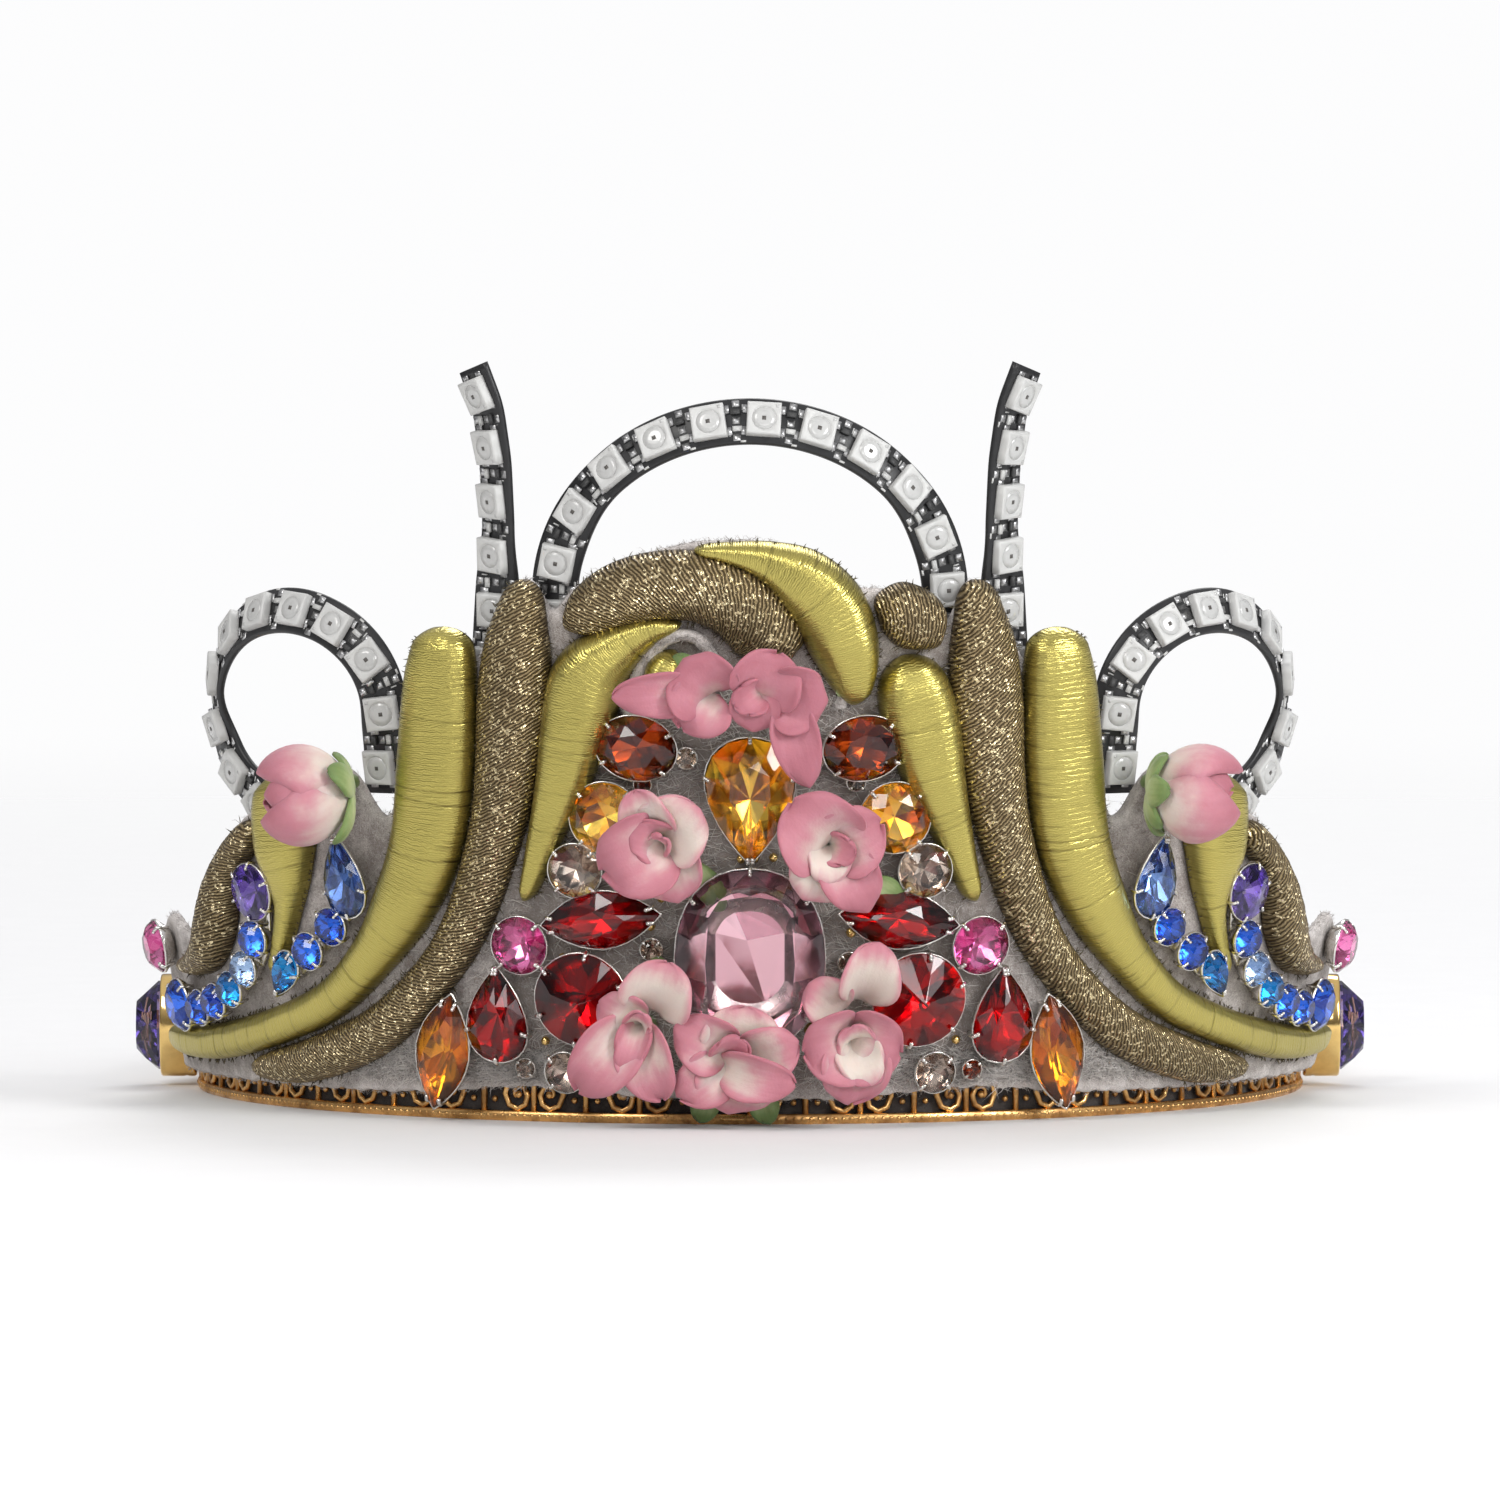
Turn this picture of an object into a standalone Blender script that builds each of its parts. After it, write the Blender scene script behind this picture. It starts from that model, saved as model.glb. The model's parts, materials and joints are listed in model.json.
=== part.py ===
"""Tiara: a pierced band with a felt-backed crest of padded leaves, cut stones, roses and light strips.

Metres, +Z up. The front faces -Y. The origin is on the band's lower edge, at the front middle.
Turn is the angle in degrees round the band from the front middle, positive toward +X.
Height is measured up the crest from the band's lower edge, and proud is measured outward from the
inner face of the felt backing. Tables give turns in degrees and sizes in millimetres.
"""
import math
from collections import namedtuple

import bmesh
import bpy
from mathutils import Matrix, Vector

MM = 0.001
UP = Vector((0, 0, 1))

# Band
BAND_RADIUS = 0.0854        # middle of the wall, round the front half
BAND_WALL = 0.0012
BAND_HEIGHT = 0.012         # at the front
ARM_HEIGHT = 0.008          # at the free ends
ARM_LENGTH = 0.074          # straight back from the widest place
ARM_END_OFFSET = 0.008      # how far each arm bends in
BAND_END_TURN = 138.0
BAND_CELLS = 50
WINDOW_SIDES = 8
WINDOW_WIDTH = 0.0056
WINDOW_SHARE = 0.62         # of the band's height

# Felt
LINING_WALL = 0.0025
LINING_END_TURN = 116.0
LINING_EDGE = 0.0008        # set back from the band's edges
LINING_STEP = 6.0
BACKING_WALL = 0.002
BACKING_FOOT = 0.004        # height of the panel's lower edge
BACKING_STEP = 4.0
GAP = 0.0003                # between pieces that touch

# Crest
CREST_FLARE = math.radians(11)
CREST_START = BAND_WALL / 2 + GAP - BACKING_FOOT * math.sin(CREST_FLARE)
SEAT = BACKING_WALL + GAP   # proud of the pieces that rest on the felt
LEAF_SEAT = SEAT + 0.00005
LEAF_LIFT = 0.0044

# Light strips
STRIP_WIDTH = 0.007
STRIP_WALL = 0.0011
LIGHT_SIZE = 0.005
LIGHT_HEIGHT = 0.0015
LIGHT_SINK = 0.0005
LIGHT_PITCH = 0.0082
STRIP_LEAN = math.radians(30)
STRIP_LEAN_RISE = 0.012     # height over which a free strip takes its lean

# Stones
CUP_FOOT_SHARE = 0.66
GIRDLE = 0.0004
ROSE_SIDES = 16

Leaf = namedtuple("Leaf", "name material tip breadth rows")
Stone = namedtuple("Stone", "name material cut turn height width length lean cup crown")
Bead = namedtuple("Bead", "cut turn height width length lean")
Rose = namedtuple("Rose", "name turn height width length petals foot lift")


# Scene and materials

def clear_scene():
    for old in list(bpy.data.objects):
        bpy.data.objects.remove(old, do_unlink=True)


def make_collection(name):
    collection = bpy.data.collections.new(name)
    bpy.context.scene.collection.children.link(collection)
    return collection


def make_material(name, colour, roughness, metallic=0.0):
    material = bpy.data.materials.new(name)
    material.use_nodes = True
    shader = material.node_tree.nodes["Principled BSDF"]
    shader.inputs["Base Color"].default_value = (*colour, 1)
    shader.inputs["Roughness"].default_value = roughness
    shader.inputs["Metallic"].default_value = metallic
    return material


clear_scene()
TIARA = make_collection("tiara")
CUTTERS = make_collection("cutters")
MATERIALS = {
    "copper": make_material("copper", (0.80, 0.50, 0.25), 0.28, 1.0),
    "gold": make_material("gold", (0.83, 0.62, 0.22), 0.22, 1.0),
    "felt": make_material("felt", (0.62, 0.58, 0.56), 0.95),
    "gold_thread": make_material("gold_thread", (0.72, 0.68, 0.35), 0.35, 0.9),
    "bronze_thread": make_material("bronze_thread", (0.35, 0.30, 0.20), 0.5, 0.7),
    "strip": make_material("strip", (0.02, 0.02, 0.02), 0.5),
    "pink_stone": make_material("pink_stone", (0.75, 0.35, 0.55), 0.05),
    "amber_stone": make_material("amber_stone", (0.90, 0.45, 0.03), 0.05),
    "smoke_stone": make_material("smoke_stone", (0.35, 0.08, 0.02), 0.05),
    "clear_stone": make_material("clear_stone", (0.72, 0.60, 0.50), 0.05),
    "red_stone": make_material("red_stone", (0.45, 0.01, 0.03), 0.05),
    "fuchsia_stone": make_material("fuchsia_stone", (0.75, 0.12, 0.40), 0.05),
    "blue_stone": make_material("blue_stone", (0.04, 0.18, 0.60), 0.05),
    "purple_stone": make_material("purple_stone", (0.20, 0.12, 0.35), 0.05),
    "rose": make_material("rose", (0.85, 0.45, 0.50), 0.6),
}


# Places on the band and the crest

def band_frame(turn):
    """Point on the band's lower edge with its direction along the band and its outward normal."""
    side = math.copysign(1, turn)
    if abs(turn) <= 90:
        angle = math.radians(turn)
        point = Vector((math.sin(angle), 1 - math.cos(angle), 0)) * BAND_RADIUS
        outward = Vector((math.sin(angle), -math.cos(angle), 0))
        return point, UP.cross(outward), outward
    back = math.radians(abs(turn) - 90) * BAND_RADIUS / ARM_LENGTH
    point = Vector((side * (BAND_RADIUS - ARM_END_OFFSET * back ** 2), BAND_RADIUS + ARM_LENGTH * back, 0))
    outward = Vector((side * ARM_LENGTH, 2 * ARM_END_OFFSET * back, 0)).normalized()
    return point, UP.cross(outward), outward


def crest_point(turn, height, proud):
    point, along, outward = band_frame(turn)
    reach = CREST_START + height * math.sin(CREST_FLARE) + proud * math.cos(CREST_FLARE)
    return point + outward * reach + UP * (height * math.cos(CREST_FLARE) - proud * math.sin(CREST_FLARE))


def crest_frame(turn, height, proud, lean=0.0):
    """Matrix with X along the band, Y up the crest and Z outward, turned by lean degrees about Z."""
    along, outward = band_frame(turn)[1:]
    up = UP * math.cos(CREST_FLARE) + outward * math.sin(CREST_FLARE)
    frame = Matrix((along, up, along.cross(up))).transposed().to_4x4()
    frame.translation = crest_point(turn, height, proud)
    return frame @ Matrix.Rotation(math.radians(lean), 4, "Z")


def length_per_degree(height):
    return math.radians(1) * (BAND_RADIUS + CREST_START + height * math.sin(CREST_FLARE) + BACKING_WALL)


def flat(turn, height):
    """Place on the unrolled crest, in metres."""
    return Vector((turn * length_per_degree(height), height))


def unflat(place):
    return place.x / length_per_degree(place.y), place.y


# Mesh building

def new_object(name, mesh, material, collection=None):
    item = bpy.data.objects.new(name, mesh)
    mesh.materials.append(MATERIALS[material])
    (collection or TIARA).objects.link(item)
    return item


def finish_mesh(shape, name):
    bmesh.ops.recalc_face_normals(shape, faces=shape.faces)
    mesh = bpy.data.meshes.new(name)
    shape.to_mesh(mesh)
    shape.free()
    return mesh


def add_loft(shape, sections):
    """Closed body through rings of points with the same count."""
    rings = [[shape.verts.new(point) for point in section] for section in sections]
    count = len(rings[0])
    for lower, upper in zip(rings, rings[1:]):
        for index in range(count):
            after = (index + 1) % count
            shape.faces.new((lower[index], lower[after], upper[after], upper[index]))
    shape.faces.new(list(reversed(rings[0])))
    shape.faces.new(rings[-1])


def loft_mesh(name, sections):
    shape = bmesh.new()
    add_loft(shape, sections)
    return finish_mesh(shape, name)


def make_tool(name, mesh):
    tool = new_object(name, mesh, "felt", CUTTERS)
    tool.hide_render = True
    tool.display_type = "WIRE"
    return tool


def add_boolean(item, tool, operation):
    modifier = item.modifiers.new(operation.lower(), "BOOLEAN")
    modifier.operation = operation
    modifier.solver = "EXACT"
    modifier.object = tool


# Band, lining and backing

def band_height(turn):
    share = max(0.0, (abs(turn) - 90) / (BAND_END_TURN - 90))
    return BAND_HEIGHT + (ARM_HEIGHT - BAND_HEIGHT) * share


def wall_section(turn, inner, outer, bottom, top):
    point, along, outward = band_frame(turn)
    corners = ((inner, bottom), (outer, bottom), (outer, top), (inner, top))
    return [point + outward * offset + UP * level for offset, level in corners]


def make_band():
    step = 2 * BAND_END_TURN / BAND_CELLS
    turns = [-BAND_END_TURN + step * index for index in range(BAND_CELLS + 1)]
    half = BAND_WALL / 2
    sections = [wall_section(turn, -half, half, 0, band_height(turn)) for turn in turns]
    band = new_object("band", loft_mesh("band", sections), "copper")
    windows = bmesh.new()
    for turn in turns[:-1]:
        middle = turn + step / 2
        near = (band_frame(turn)[0] + band_frame(turn + step)[0]) / 2
        along, outward = band_frame(middle)[1:]
        rise = band_height(middle)
        ring = []
        for index in range(WINDOW_SIDES):
            angle = 2 * math.pi * (index + 0.5) / WINDOW_SIDES
            across = along * math.cos(angle) * WINDOW_WIDTH / 2
            ring.append(near + across + UP * rise * (0.5 + WINDOW_SHARE / 2 * math.sin(angle)))
        depth = outward * BAND_WALL * 2
        add_loft(windows, [[point - depth for point in ring], [point + depth for point in ring]])
    add_boolean(band, make_tool("band_windows", finish_mesh(windows, "band_windows")), "DIFFERENCE")


def make_lining():
    outer = -BAND_WALL / 2 - GAP
    count = int(2 * LINING_END_TURN / LINING_STEP)
    sections = []
    for index in range(count + 1):
        turn = -LINING_END_TURN + 2 * LINING_END_TURN * index / count
        top = band_height(turn) - LINING_EDGE
        sections.append(wall_section(turn, outer - LINING_WALL, outer, LINING_EDGE, top))
    new_object("lining", loft_mesh("lining", sections), "felt")


# Turn and height of the panel's upper edge: first the left side's own top, then the right side's,
# then the stretch past the middle that both sides share.
LEFT_TOP = ((16.8, 77.0), (15.2, 81.5), (12, 85.2), (8, 87.7), (4.5, 89.2), (0, 89.5))
RIGHT_TOP = ((3, 88.6), (6, 86.6), (8.8, 82), (10.4, 82.3), (13.2, 81.2), (15.5, 78.4), (16.9, 74.5))
SIDE_TOP = (
    (17.4, 81.5), (18.3, 84.5), (19.8, 82), (22.6, 75.5), (23.9, 69), (24.6, 74.5), (26, 77.4),
    (28, 75), (30.4, 66), (32, 56), (33.6, 46.5), (35.8, 48), (36.4, 57), (38.3, 60), (40.2, 57),
    (41, 49.5), (42.6, 53), (45.5, 54.8), (48, 53), (49.6, 46.8), (50.8, 47.5), (53, 46),
    (56, 41.5), (60, 37.5), (63.5, 32), (67, 27), (70.4, 27.5), (74, 29.8), (77.2, 27.5),
    (78.5, 19), (80.5, 15), (82.5, 13),
)


def make_backing():
    edge = [(-turn, height) for turn, height in reversed(SIDE_TOP)]
    edge += [(-turn, height) for turn, height in LEFT_TOP]
    edge += list(RIGHT_TOP) + list(SIDE_TOP)
    columns = []
    for (turn, height), (next_turn, next_height) in zip(edge, edge[1:]):
        steps = math.ceil((next_turn - turn) / BACKING_STEP)
        for index in range(steps):
            share = index / steps
            columns.append((turn + (next_turn - turn) * share, height + (next_height - height) * share))
    columns.append(edge[-1])
    sections = []
    for turn, height in columns:
        top = height * MM
        corners = ((BACKING_FOOT, 0), (BACKING_FOOT, BACKING_WALL), (top, BACKING_WALL), (top, 0))
        sections.append([crest_point(turn, level, proud) for level, proud in corners])
    new_object("backing", loft_mesh("backing", sections), "felt")


# Padded leaves. Rows: turn, share of the tip's height, share of the greatest breadth.

COLUMN_ROWS = (
    (18.3, 1.0, 0.2), (18.9, 0.955, 0.54), (19.6, 0.88, 0.88), (20.2, 0.78, 1.0), (21.2, 0.66, 0.88),
    (22.8, 0.54, 0.75), (26.4, 0.375, 0.66), (31.1, 0.262, 0.62), (38.0, 0.163, 0.66),
    (46.5, 0.107, 0.6), (53.0, 0.088, 0.42), (57.0, 0.085, 0.18),
)
OUTER_ROWS = (
    (26.0, 1.0, 0.2), (26.3, 0.955, 0.6), (26.9, 0.88, 0.85), (27.9, 0.74, 1.0), (29.5, 0.58, 0.96),
    (32.6, 0.45, 0.84), (37.0, 0.338, 0.62), (42.7, 0.245, 0.52), (50.0, 0.188, 0.47),
    (58.5, 0.148, 0.46), (66.0, 0.13, 0.43), (74.0, 0.13, 0.4), (78.5, 0.133, 0.16),
)
SMALL_ROWS = (
    (45.5, 1.0, 0.2), (45.4, 0.95, 0.66), (45.6, 0.875, 1.0), (46.0, 0.78, 0.88), (46.2, 0.69, 0.5),
    (47.0, 0.6, 0.24), (48.7, 0.495, 0.18), (50.7, 0.41, 0.14),
)
EDGE_ROWS = (
    (49.9, 0.985, 0.2), (51.5, 0.95, 0.55), (54.3, 0.875, 0.62), (56.9, 0.765, 0.8), (58.8, 0.655, 0.95),
    (61.2, 0.56, 0.8), (64.8, 0.505, 0.52), (68.2, 0.485, 0.3), (70.0, 0.48, 0.14),
)
LEAVES = [
    Leaf("bronze_scroll_top", "bronze_thread", 82.2, 9.2, (
        (-15.4, 0.925, 0.4), (-13.2, 0.953, 0.7), (-10.5, 0.983, 0.86), (-7.3, 1.0, 0.9),
        (-4.0, 0.998, 0.92), (-1.0, 0.97, 0.96), (1.2, 0.92, 0.98), (1.9, 0.875, 0.92), (1.9, 0.86, 0.6))),
    Leaf("gold_crescent_top", "gold_thread", 87.6, 8.2, (
        (-4.5, 1.0, 0.14), (-1.5, 0.995, 0.3), (1.5, 0.98, 0.56), (4.2, 0.95, 0.86),
        (6.4, 0.9, 1.0), (7.7, 0.84, 0.88), (8.1, 0.788, 0.55), (8.0, 0.76, 0.24))),
    Leaf("bronze_small_right", "bronze_thread", 80.3, 5.5, (
        (10.2, 1.0, 0.5), (12.0, 0.983, 0.9), (14.0, 0.952, 1.0), (15.7, 0.912, 0.5))),
    Leaf("gold_inner_left", "gold_thread", 76.6, 9.6, (
        (-5.6, 1.0, 0.14), (-8.3, 0.985, 0.4), (-11.2, 0.945, 0.72), (-13.5, 0.89, 1.0),
        (-14.9, 0.79, 0.9), (-16.2, 0.69, 0.72), (-18.2, 0.575, 0.46), (-19.9, 0.48, 0.26),
        (-20.6, 0.45, 0.12))),
    Leaf("gold_inner_right", "gold_thread", 71.8, 8.6, (
        (12.8, 1.0, 0.5), (13.6, 0.94, 0.92), (14.7, 0.85, 1.0), (16.1, 0.735, 0.8),
        (18.2, 0.61, 0.5), (19.9, 0.51, 0.3), (20.6, 0.48, 0.14))),
    Leaf("gold_tiny_left", "gold_thread", 72.6, 4.8, (
        (-6.2, 1.0, 0.4), (-6.9, 0.965, 1.0), (-7.4, 0.925, 0.9), (-7.8, 0.9, 0.4))),
]
for side_name, side_sign in (("left", -1), ("right", 1)):
    for kind, thread, tip, breadth, rows in (
            ("bronze_column", "bronze_thread", 83.0, 11.2, COLUMN_ROWS),
            ("gold_outer", "gold_thread", 75.8, 12.0, OUTER_ROWS),
            ("gold_small", "gold_thread", 53.2, 12.2, SMALL_ROWS),
            ("bronze_edge", "bronze_thread", 45.0, 9.6, EDGE_ROWS)):
        mirrored = tuple((side_sign * turn, rise, spread) for turn, rise, spread in rows)
        LEAVES.append(Leaf(f"{kind}_{side_name}", thread, tip, breadth, mirrored))

# Cross-section of a padded leaf. Columns: share of the half breadth, share of the lift.
LEAF_PROFILE = ((-1, 0), (-0.82, 0.5), (-0.38, 0.94), (0.38, 0.94), (0.82, 0.5), (1, 0), (0, 0))


def make_leaf(leaf):
    centres = [flat(turn, rise * leaf.tip * MM) for turn, rise, spread in leaf.rows]
    sections = []
    for index, (turn, rise, spread) in enumerate(leaf.rows):
        before = centres[max(index - 1, 0)]
        after = centres[min(index + 1, len(centres) - 1)]
        onward = (after - before).normalized()
        aside = Vector((-onward.y, onward.x)) * leaf.breadth * spread * MM / 2
        lift = LEAF_LIFT * min(1.0, 0.3 + 0.8 * spread)
        section = []
        for across, rise_share in LEAF_PROFILE:
            place = unflat(centres[index] + aside * across)
            section.append(crest_point(*place, LEAF_SEAT + lift * rise_share))
        sections.append(section)
    new_object(leaf.name, loft_mesh(leaf.name, sections), leaf.material)


# Outlines of cut stones, one point for each side, in shares of half the width and length

def round_outline(count, power=1.0):
    ring = []
    for index in range(count):
        angle = 2 * math.pi * (index + 0.5) / count
        across, along = math.cos(angle), math.sin(angle)
        ring.append((math.copysign(abs(across) ** power, across), math.copysign(abs(along) ** power, along)))
    return ring


def pear_outline(count):
    ring = []
    for index in range(count):
        angle = 2 * math.pi * index / count
        taper = math.sin(angle / 2) ** 1.2
        ring.append((math.sin(angle) * taper * -1.15, math.cos(angle)))
    return ring


def navette_outline(count):
    ring = []
    for index in range(count):
        angle = 2 * math.pi * index / count
        along = math.cos(angle)
        ring.append((math.copysign(1 - along ** 2, -math.sin(angle)), along))
    return ring


# Cuts. Columns: outline, crown rings as (share of the outline, share of the crown's height).
CUTS = {
    "round": (round_outline(8), ((0.58, 1.0),)),
    "oval": (round_outline(10), ((0.56, 1.0),)),
    "cushion": (round_outline(16, 0.8), ((0.86, 0.55), (0.56, 1.0))),
    "rivoli": (round_outline(12), ((0.12, 1.0),)),
    "pear": (pear_outline(11), ((0.5, 1.0),)),
    "navette": (navette_outline(10), ((0.45, 1.0),)),
}


def stone_sections(cut, width, length, cup, crown):
    outline, crown_rings = CUTS[cut]
    rings = [(CUP_FOOT_SHARE, 0.0), (1.0, cup), (1.0, cup + GIRDLE)]
    rings += [(share, cup + GIRDLE + crown * rise) for share, rise in crown_rings]
    sections = []
    for share, level in rings:
        sections.append([Vector((x * width / 2 * share, y * length / 2 * share, level)) for x, y in outline])
    return sections


PINK_CUP = 3.6
BIG_CUP = 2.9
CUP = 2.5
SMALL_CUP = 2.1
MIDDLE_STONES = (
    Stone("stone_pink", "pink_stone", "cushion", 0, 26.8, 22, 27, 0, PINK_CUP, 3.2),
    Stone("stone_amber_pear", "amber_stone", "pear", 0, 50.5, 14.2, 19, 180, BIG_CUP, 2.4),
)
# Each of these stands once on either side, mirrored.
PAIRED_STONES = (
    Stone("stone_smoke", "smoke_stone", "oval", 9.5, 58.3, 12, 9.6, 10, CUP, 2.2),
    Stone("stone_amber", "amber_stone", "round", 12.4, 47.8, 10.6, 10.6, 0, CUP, 2.0),
    Stone("stone_champagne", "clear_stone", "round", 15.3, 39.7, 8.0, 8.0, 0, CUP, 1.6),
    Stone("stone_navette", "red_stone", "navette", 13.2, 32.3, 8.6, 18, 84, CUP, 1.8),
    Stone("stone_fuchsia", "fuchsia_stone", "round", 20.9, 28.2, 8.6, 8.6, 0, CUP, 1.8),
    Stone("stone_rivoli", "red_stone", "rivoli", 15.3, 20.2, 14, 14, 0, BIG_CUP, 3.0),
    Stone("stone_red_pear", "red_stone", "pear", 23.6, 17.6, 10.4, 14.4, 4, CUP, 2.2),
    Stone("stone_amber_navette", "amber_stone", "navette", 29.6, 11.6, 8.8, 18, 16, CUP, 2.0),
    Stone("stone_low_clear", "clear_stone", "round", 17.4, 8.8, 6, 6, 0, SMALL_CUP, 1.2),
    Stone("stone_pink_side", "fuchsia_stone", "round", 74, 24.4, 8, 8, 0, SMALL_CUP, 1.6),
)


def make_stone(name, stone, sign=1):
    sizes = (stone.width * MM, stone.length * MM, stone.cup * MM, stone.crown * MM)
    item = new_object(name, loft_mesh(name, stone_sections(stone.cut, *sizes)), stone.material)
    item.matrix_world = crest_frame(sign * stone.turn, stone.height * MM, SEAT, sign * stone.lean)


def make_stones():
    for stone in MIDDLE_STONES:
        make_stone(stone.name, stone)
    for stone in PAIRED_STONES:
        make_stone(f"{stone.name}_left", stone, -1)
        make_stone(f"{stone.name}_right", stone)


# Strings of small stones on the sides, each fused to one narrow metal strip

STRING_WIDTH = 0.0028
STRING_WALL = 0.001
STRING_CUP = 0.0034
STRING_CROWN = 0.0014
STRING_SINK = 0.0005
SPRAY = (
    Bead("pear", 38.3, 38.0, 8.0, 12.4, -4), Bead("round", 40.5, 30.2, 5.6, 5.6, 0),
    Bead("round", 43.8, 26.2, 5.6, 5.6, 0), Bead("pear", 47.4, 22.4, 5.2, 7.6, 215),
)
ROW = (
    Bead("rivoli", 50.4, 34.9, 8.6, 8.6, 0), Bead("round", 51.2, 27.6, 5.6, 5.6, 0),
    Bead("round", 53.4, 22.8, 5.4, 5.4, 0), Bead("round", 56.4, 19.4, 5.4, 5.4, 0),
    Bead("round", 59.8, 17.2, 5.4, 5.4, 0), Bead("round", 63.4, 15.9, 5.4, 5.4, 0),
    Bead("round", 68.3, 15.9, 8.0, 8.0, 0),
)


def make_string(name, beads, sign):
    places = [flat(bead.turn, bead.height * MM) for bead in beads]
    first = places[0] + (places[0] - places[1]).normalized() * STRING_WIDTH
    last = places[-1] + (places[-1] - places[-2]).normalized() * STRING_WIDTH
    path = [first]
    for place, after in zip(places, places[1:]):
        path += [place, (place + after) / 2]
    path += [places[-1], last]
    sections = []
    for index, place in enumerate(path):
        onward = (path[min(index + 1, len(path) - 1)] - path[max(index - 1, 0)]).normalized()
        aside = Vector((-onward.y, onward.x)) * STRING_WIDTH / 2
        section = []
        for across, proud in ((-1, 0), (1, 0), (1, STRING_WALL), (-1, STRING_WALL)):
            turn, height = unflat(place + aside * across)
            section.append(crest_point(sign * turn, height, SEAT + proud))
        sections.append(section)
    strip = new_object(name, loft_mesh(name, sections), "blue_stone")
    shape = bmesh.new()
    for bead in beads:
        seat = SEAT + STRING_WALL - STRING_SINK
        frame = crest_frame(sign * bead.turn, bead.height * MM, seat, sign * bead.lean)
        size = (bead.width * MM, bead.length * MM, STRING_CUP - STRING_WALL, STRING_CROWN)
        rings = stone_sections(bead.cut, *size)
        add_loft(shape, [[frame @ point for point in ring] for ring in rings])
    add_boolean(strip, make_tool(f"{name}_stones", finish_mesh(shape, f"{name}_stones")), "UNION")


# Oval stones in deep collets at the widest places of the band

COLLET_HEIGHT = 9.3 * MM
COLLET_WIDTH = 12 * MM
COLLET_LENGTH = 16 * MM
COLLET_DEPTH = 5.6 * MM
COLLET_WALL = 0.8 * MM
COLLET_FLOOR = 1.6 * MM
COLLET_SIDES = 16
BEZEL_RISE = 3.8 * MM


def side_frame(turn):
    point, along, outward = band_frame(turn)
    frame = Matrix((along, UP, outward)).transposed().to_4x4()
    frame.translation = point + UP * COLLET_HEIGHT + outward * (BAND_WALL / 2 + GAP)
    return frame


def oval_ring(width, length, level):
    return [Vector((x * width / 2, y * length / 2, level)) for x, y in round_outline(COLLET_SIDES)]


def make_collets():
    for side, turn in (("left", -90), ("right", 90)):
        inner_width = COLLET_WIDTH - 2 * COLLET_WALL
        inner_length = COLLET_LENGTH - 2 * COLLET_WALL
        collet = new_object(f"collet_{side}", loft_mesh("collet", [
            oval_ring(COLLET_WIDTH, COLLET_LENGTH, 0),
            oval_ring(COLLET_WIDTH, COLLET_LENGTH, COLLET_DEPTH),
            oval_ring(inner_width, inner_length, COLLET_DEPTH),
            oval_ring(inner_width, inner_length, COLLET_FLOOR),
        ]), "gold")
        collet.matrix_world = side_frame(turn)
        stone_width = inner_width - 2 * GAP
        stone_length = inner_length - 2 * GAP
        rings = ((0.7, COLLET_FLOOR + GAP), (1.0, COLLET_DEPTH), (1.0, COLLET_DEPTH + GIRDLE),
                 (0.78, COLLET_DEPTH + BEZEL_RISE * 0.7), (0.5, COLLET_DEPTH + BEZEL_RISE))
        stone = new_object(f"stone_purple_{side}", loft_mesh("stone_purple", [
            oval_ring(stone_width * share, stone_length * share, level) for share, level in rings
        ]), "purple_stone")
        stone.matrix_world = side_frame(turn)


# Roses. A narrow foot stands between the stones and carries a wide head of petals over them.

ROSE_FOOT = 5.4
ROSES = (
    Rose("rose_top", -1.6, 64.6, 30, 15, 5, 0.26, 6.0),
    Rose("rose_mid_left", -7.5, 43.6, 17, 17, 5, 0.3, 5.4),
    Rose("rose_mid_right", 7.0, 42.6, 15, 16.8, 5, 0.3, 5.4),
    Rose("rose_low_left", -9.8, 13.6, 13, 20, 5, 0.45, 5.0),
    Rose("rose_low_centre", -0.6, 10.2, 16.6, 13, 6, 0.42, 5.6),
    Rose("rose_low_right", 9.4, 14.0, 14, 21, 5, 0.42, 5.0),
    Rose("bud_left", -38.3, 52.0, 15.5, 15.5, 4, 0.42, 6.0),
    Rose("bud_right", 38.3, 52.0, 15.5, 15.5, 4, 0.42, 6.0),
)
# Rings of a rose from its foot up. Columns: share of the head's size, share of the lift, ripple.
ROSE_RINGS = ((1.0, 0.18, 0.10), (0.92, 0.62, 0.10), (0.62, 1.0, 0.16), (0.3, 0.82, 0.12))


def rose_ring(width, length, level, ripple, petals, phase):
    ring = []
    for index in range(ROSE_SIDES):
        angle = 2 * math.pi * index / ROSE_SIDES
        wave = 1 + ripple * math.cos(petals * angle + phase)
        ring.append(Vector((math.cos(angle) * width / 2 * wave, math.sin(angle) * length / 2 * wave, level)))
    return ring


def make_rose(rose):
    width, length, lift = rose.width * MM, rose.length * MM, rose.lift * MM
    foot = ROSE_FOOT * MM
    foot_width = min(rose.foot * width, rose.foot * length)
    sections = [rose_ring(foot_width, foot_width, level, 0, rose.petals, 0) for level in (0, foot)]
    for index, (share, rise, ripple) in enumerate(ROSE_RINGS):
        size = (width * share, length * share, foot + lift * rise)
        sections.append(rose_ring(*size, ripple, rose.petals, index))
    head = new_object(rose.name, loft_mesh(rose.name, sections), "rose")
    head.matrix_world = crest_frame(rose.turn, rose.height * MM, SEAT)


# Light strips. Each path runs so that the strip's outer side is on its left, seen from the front.

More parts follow.
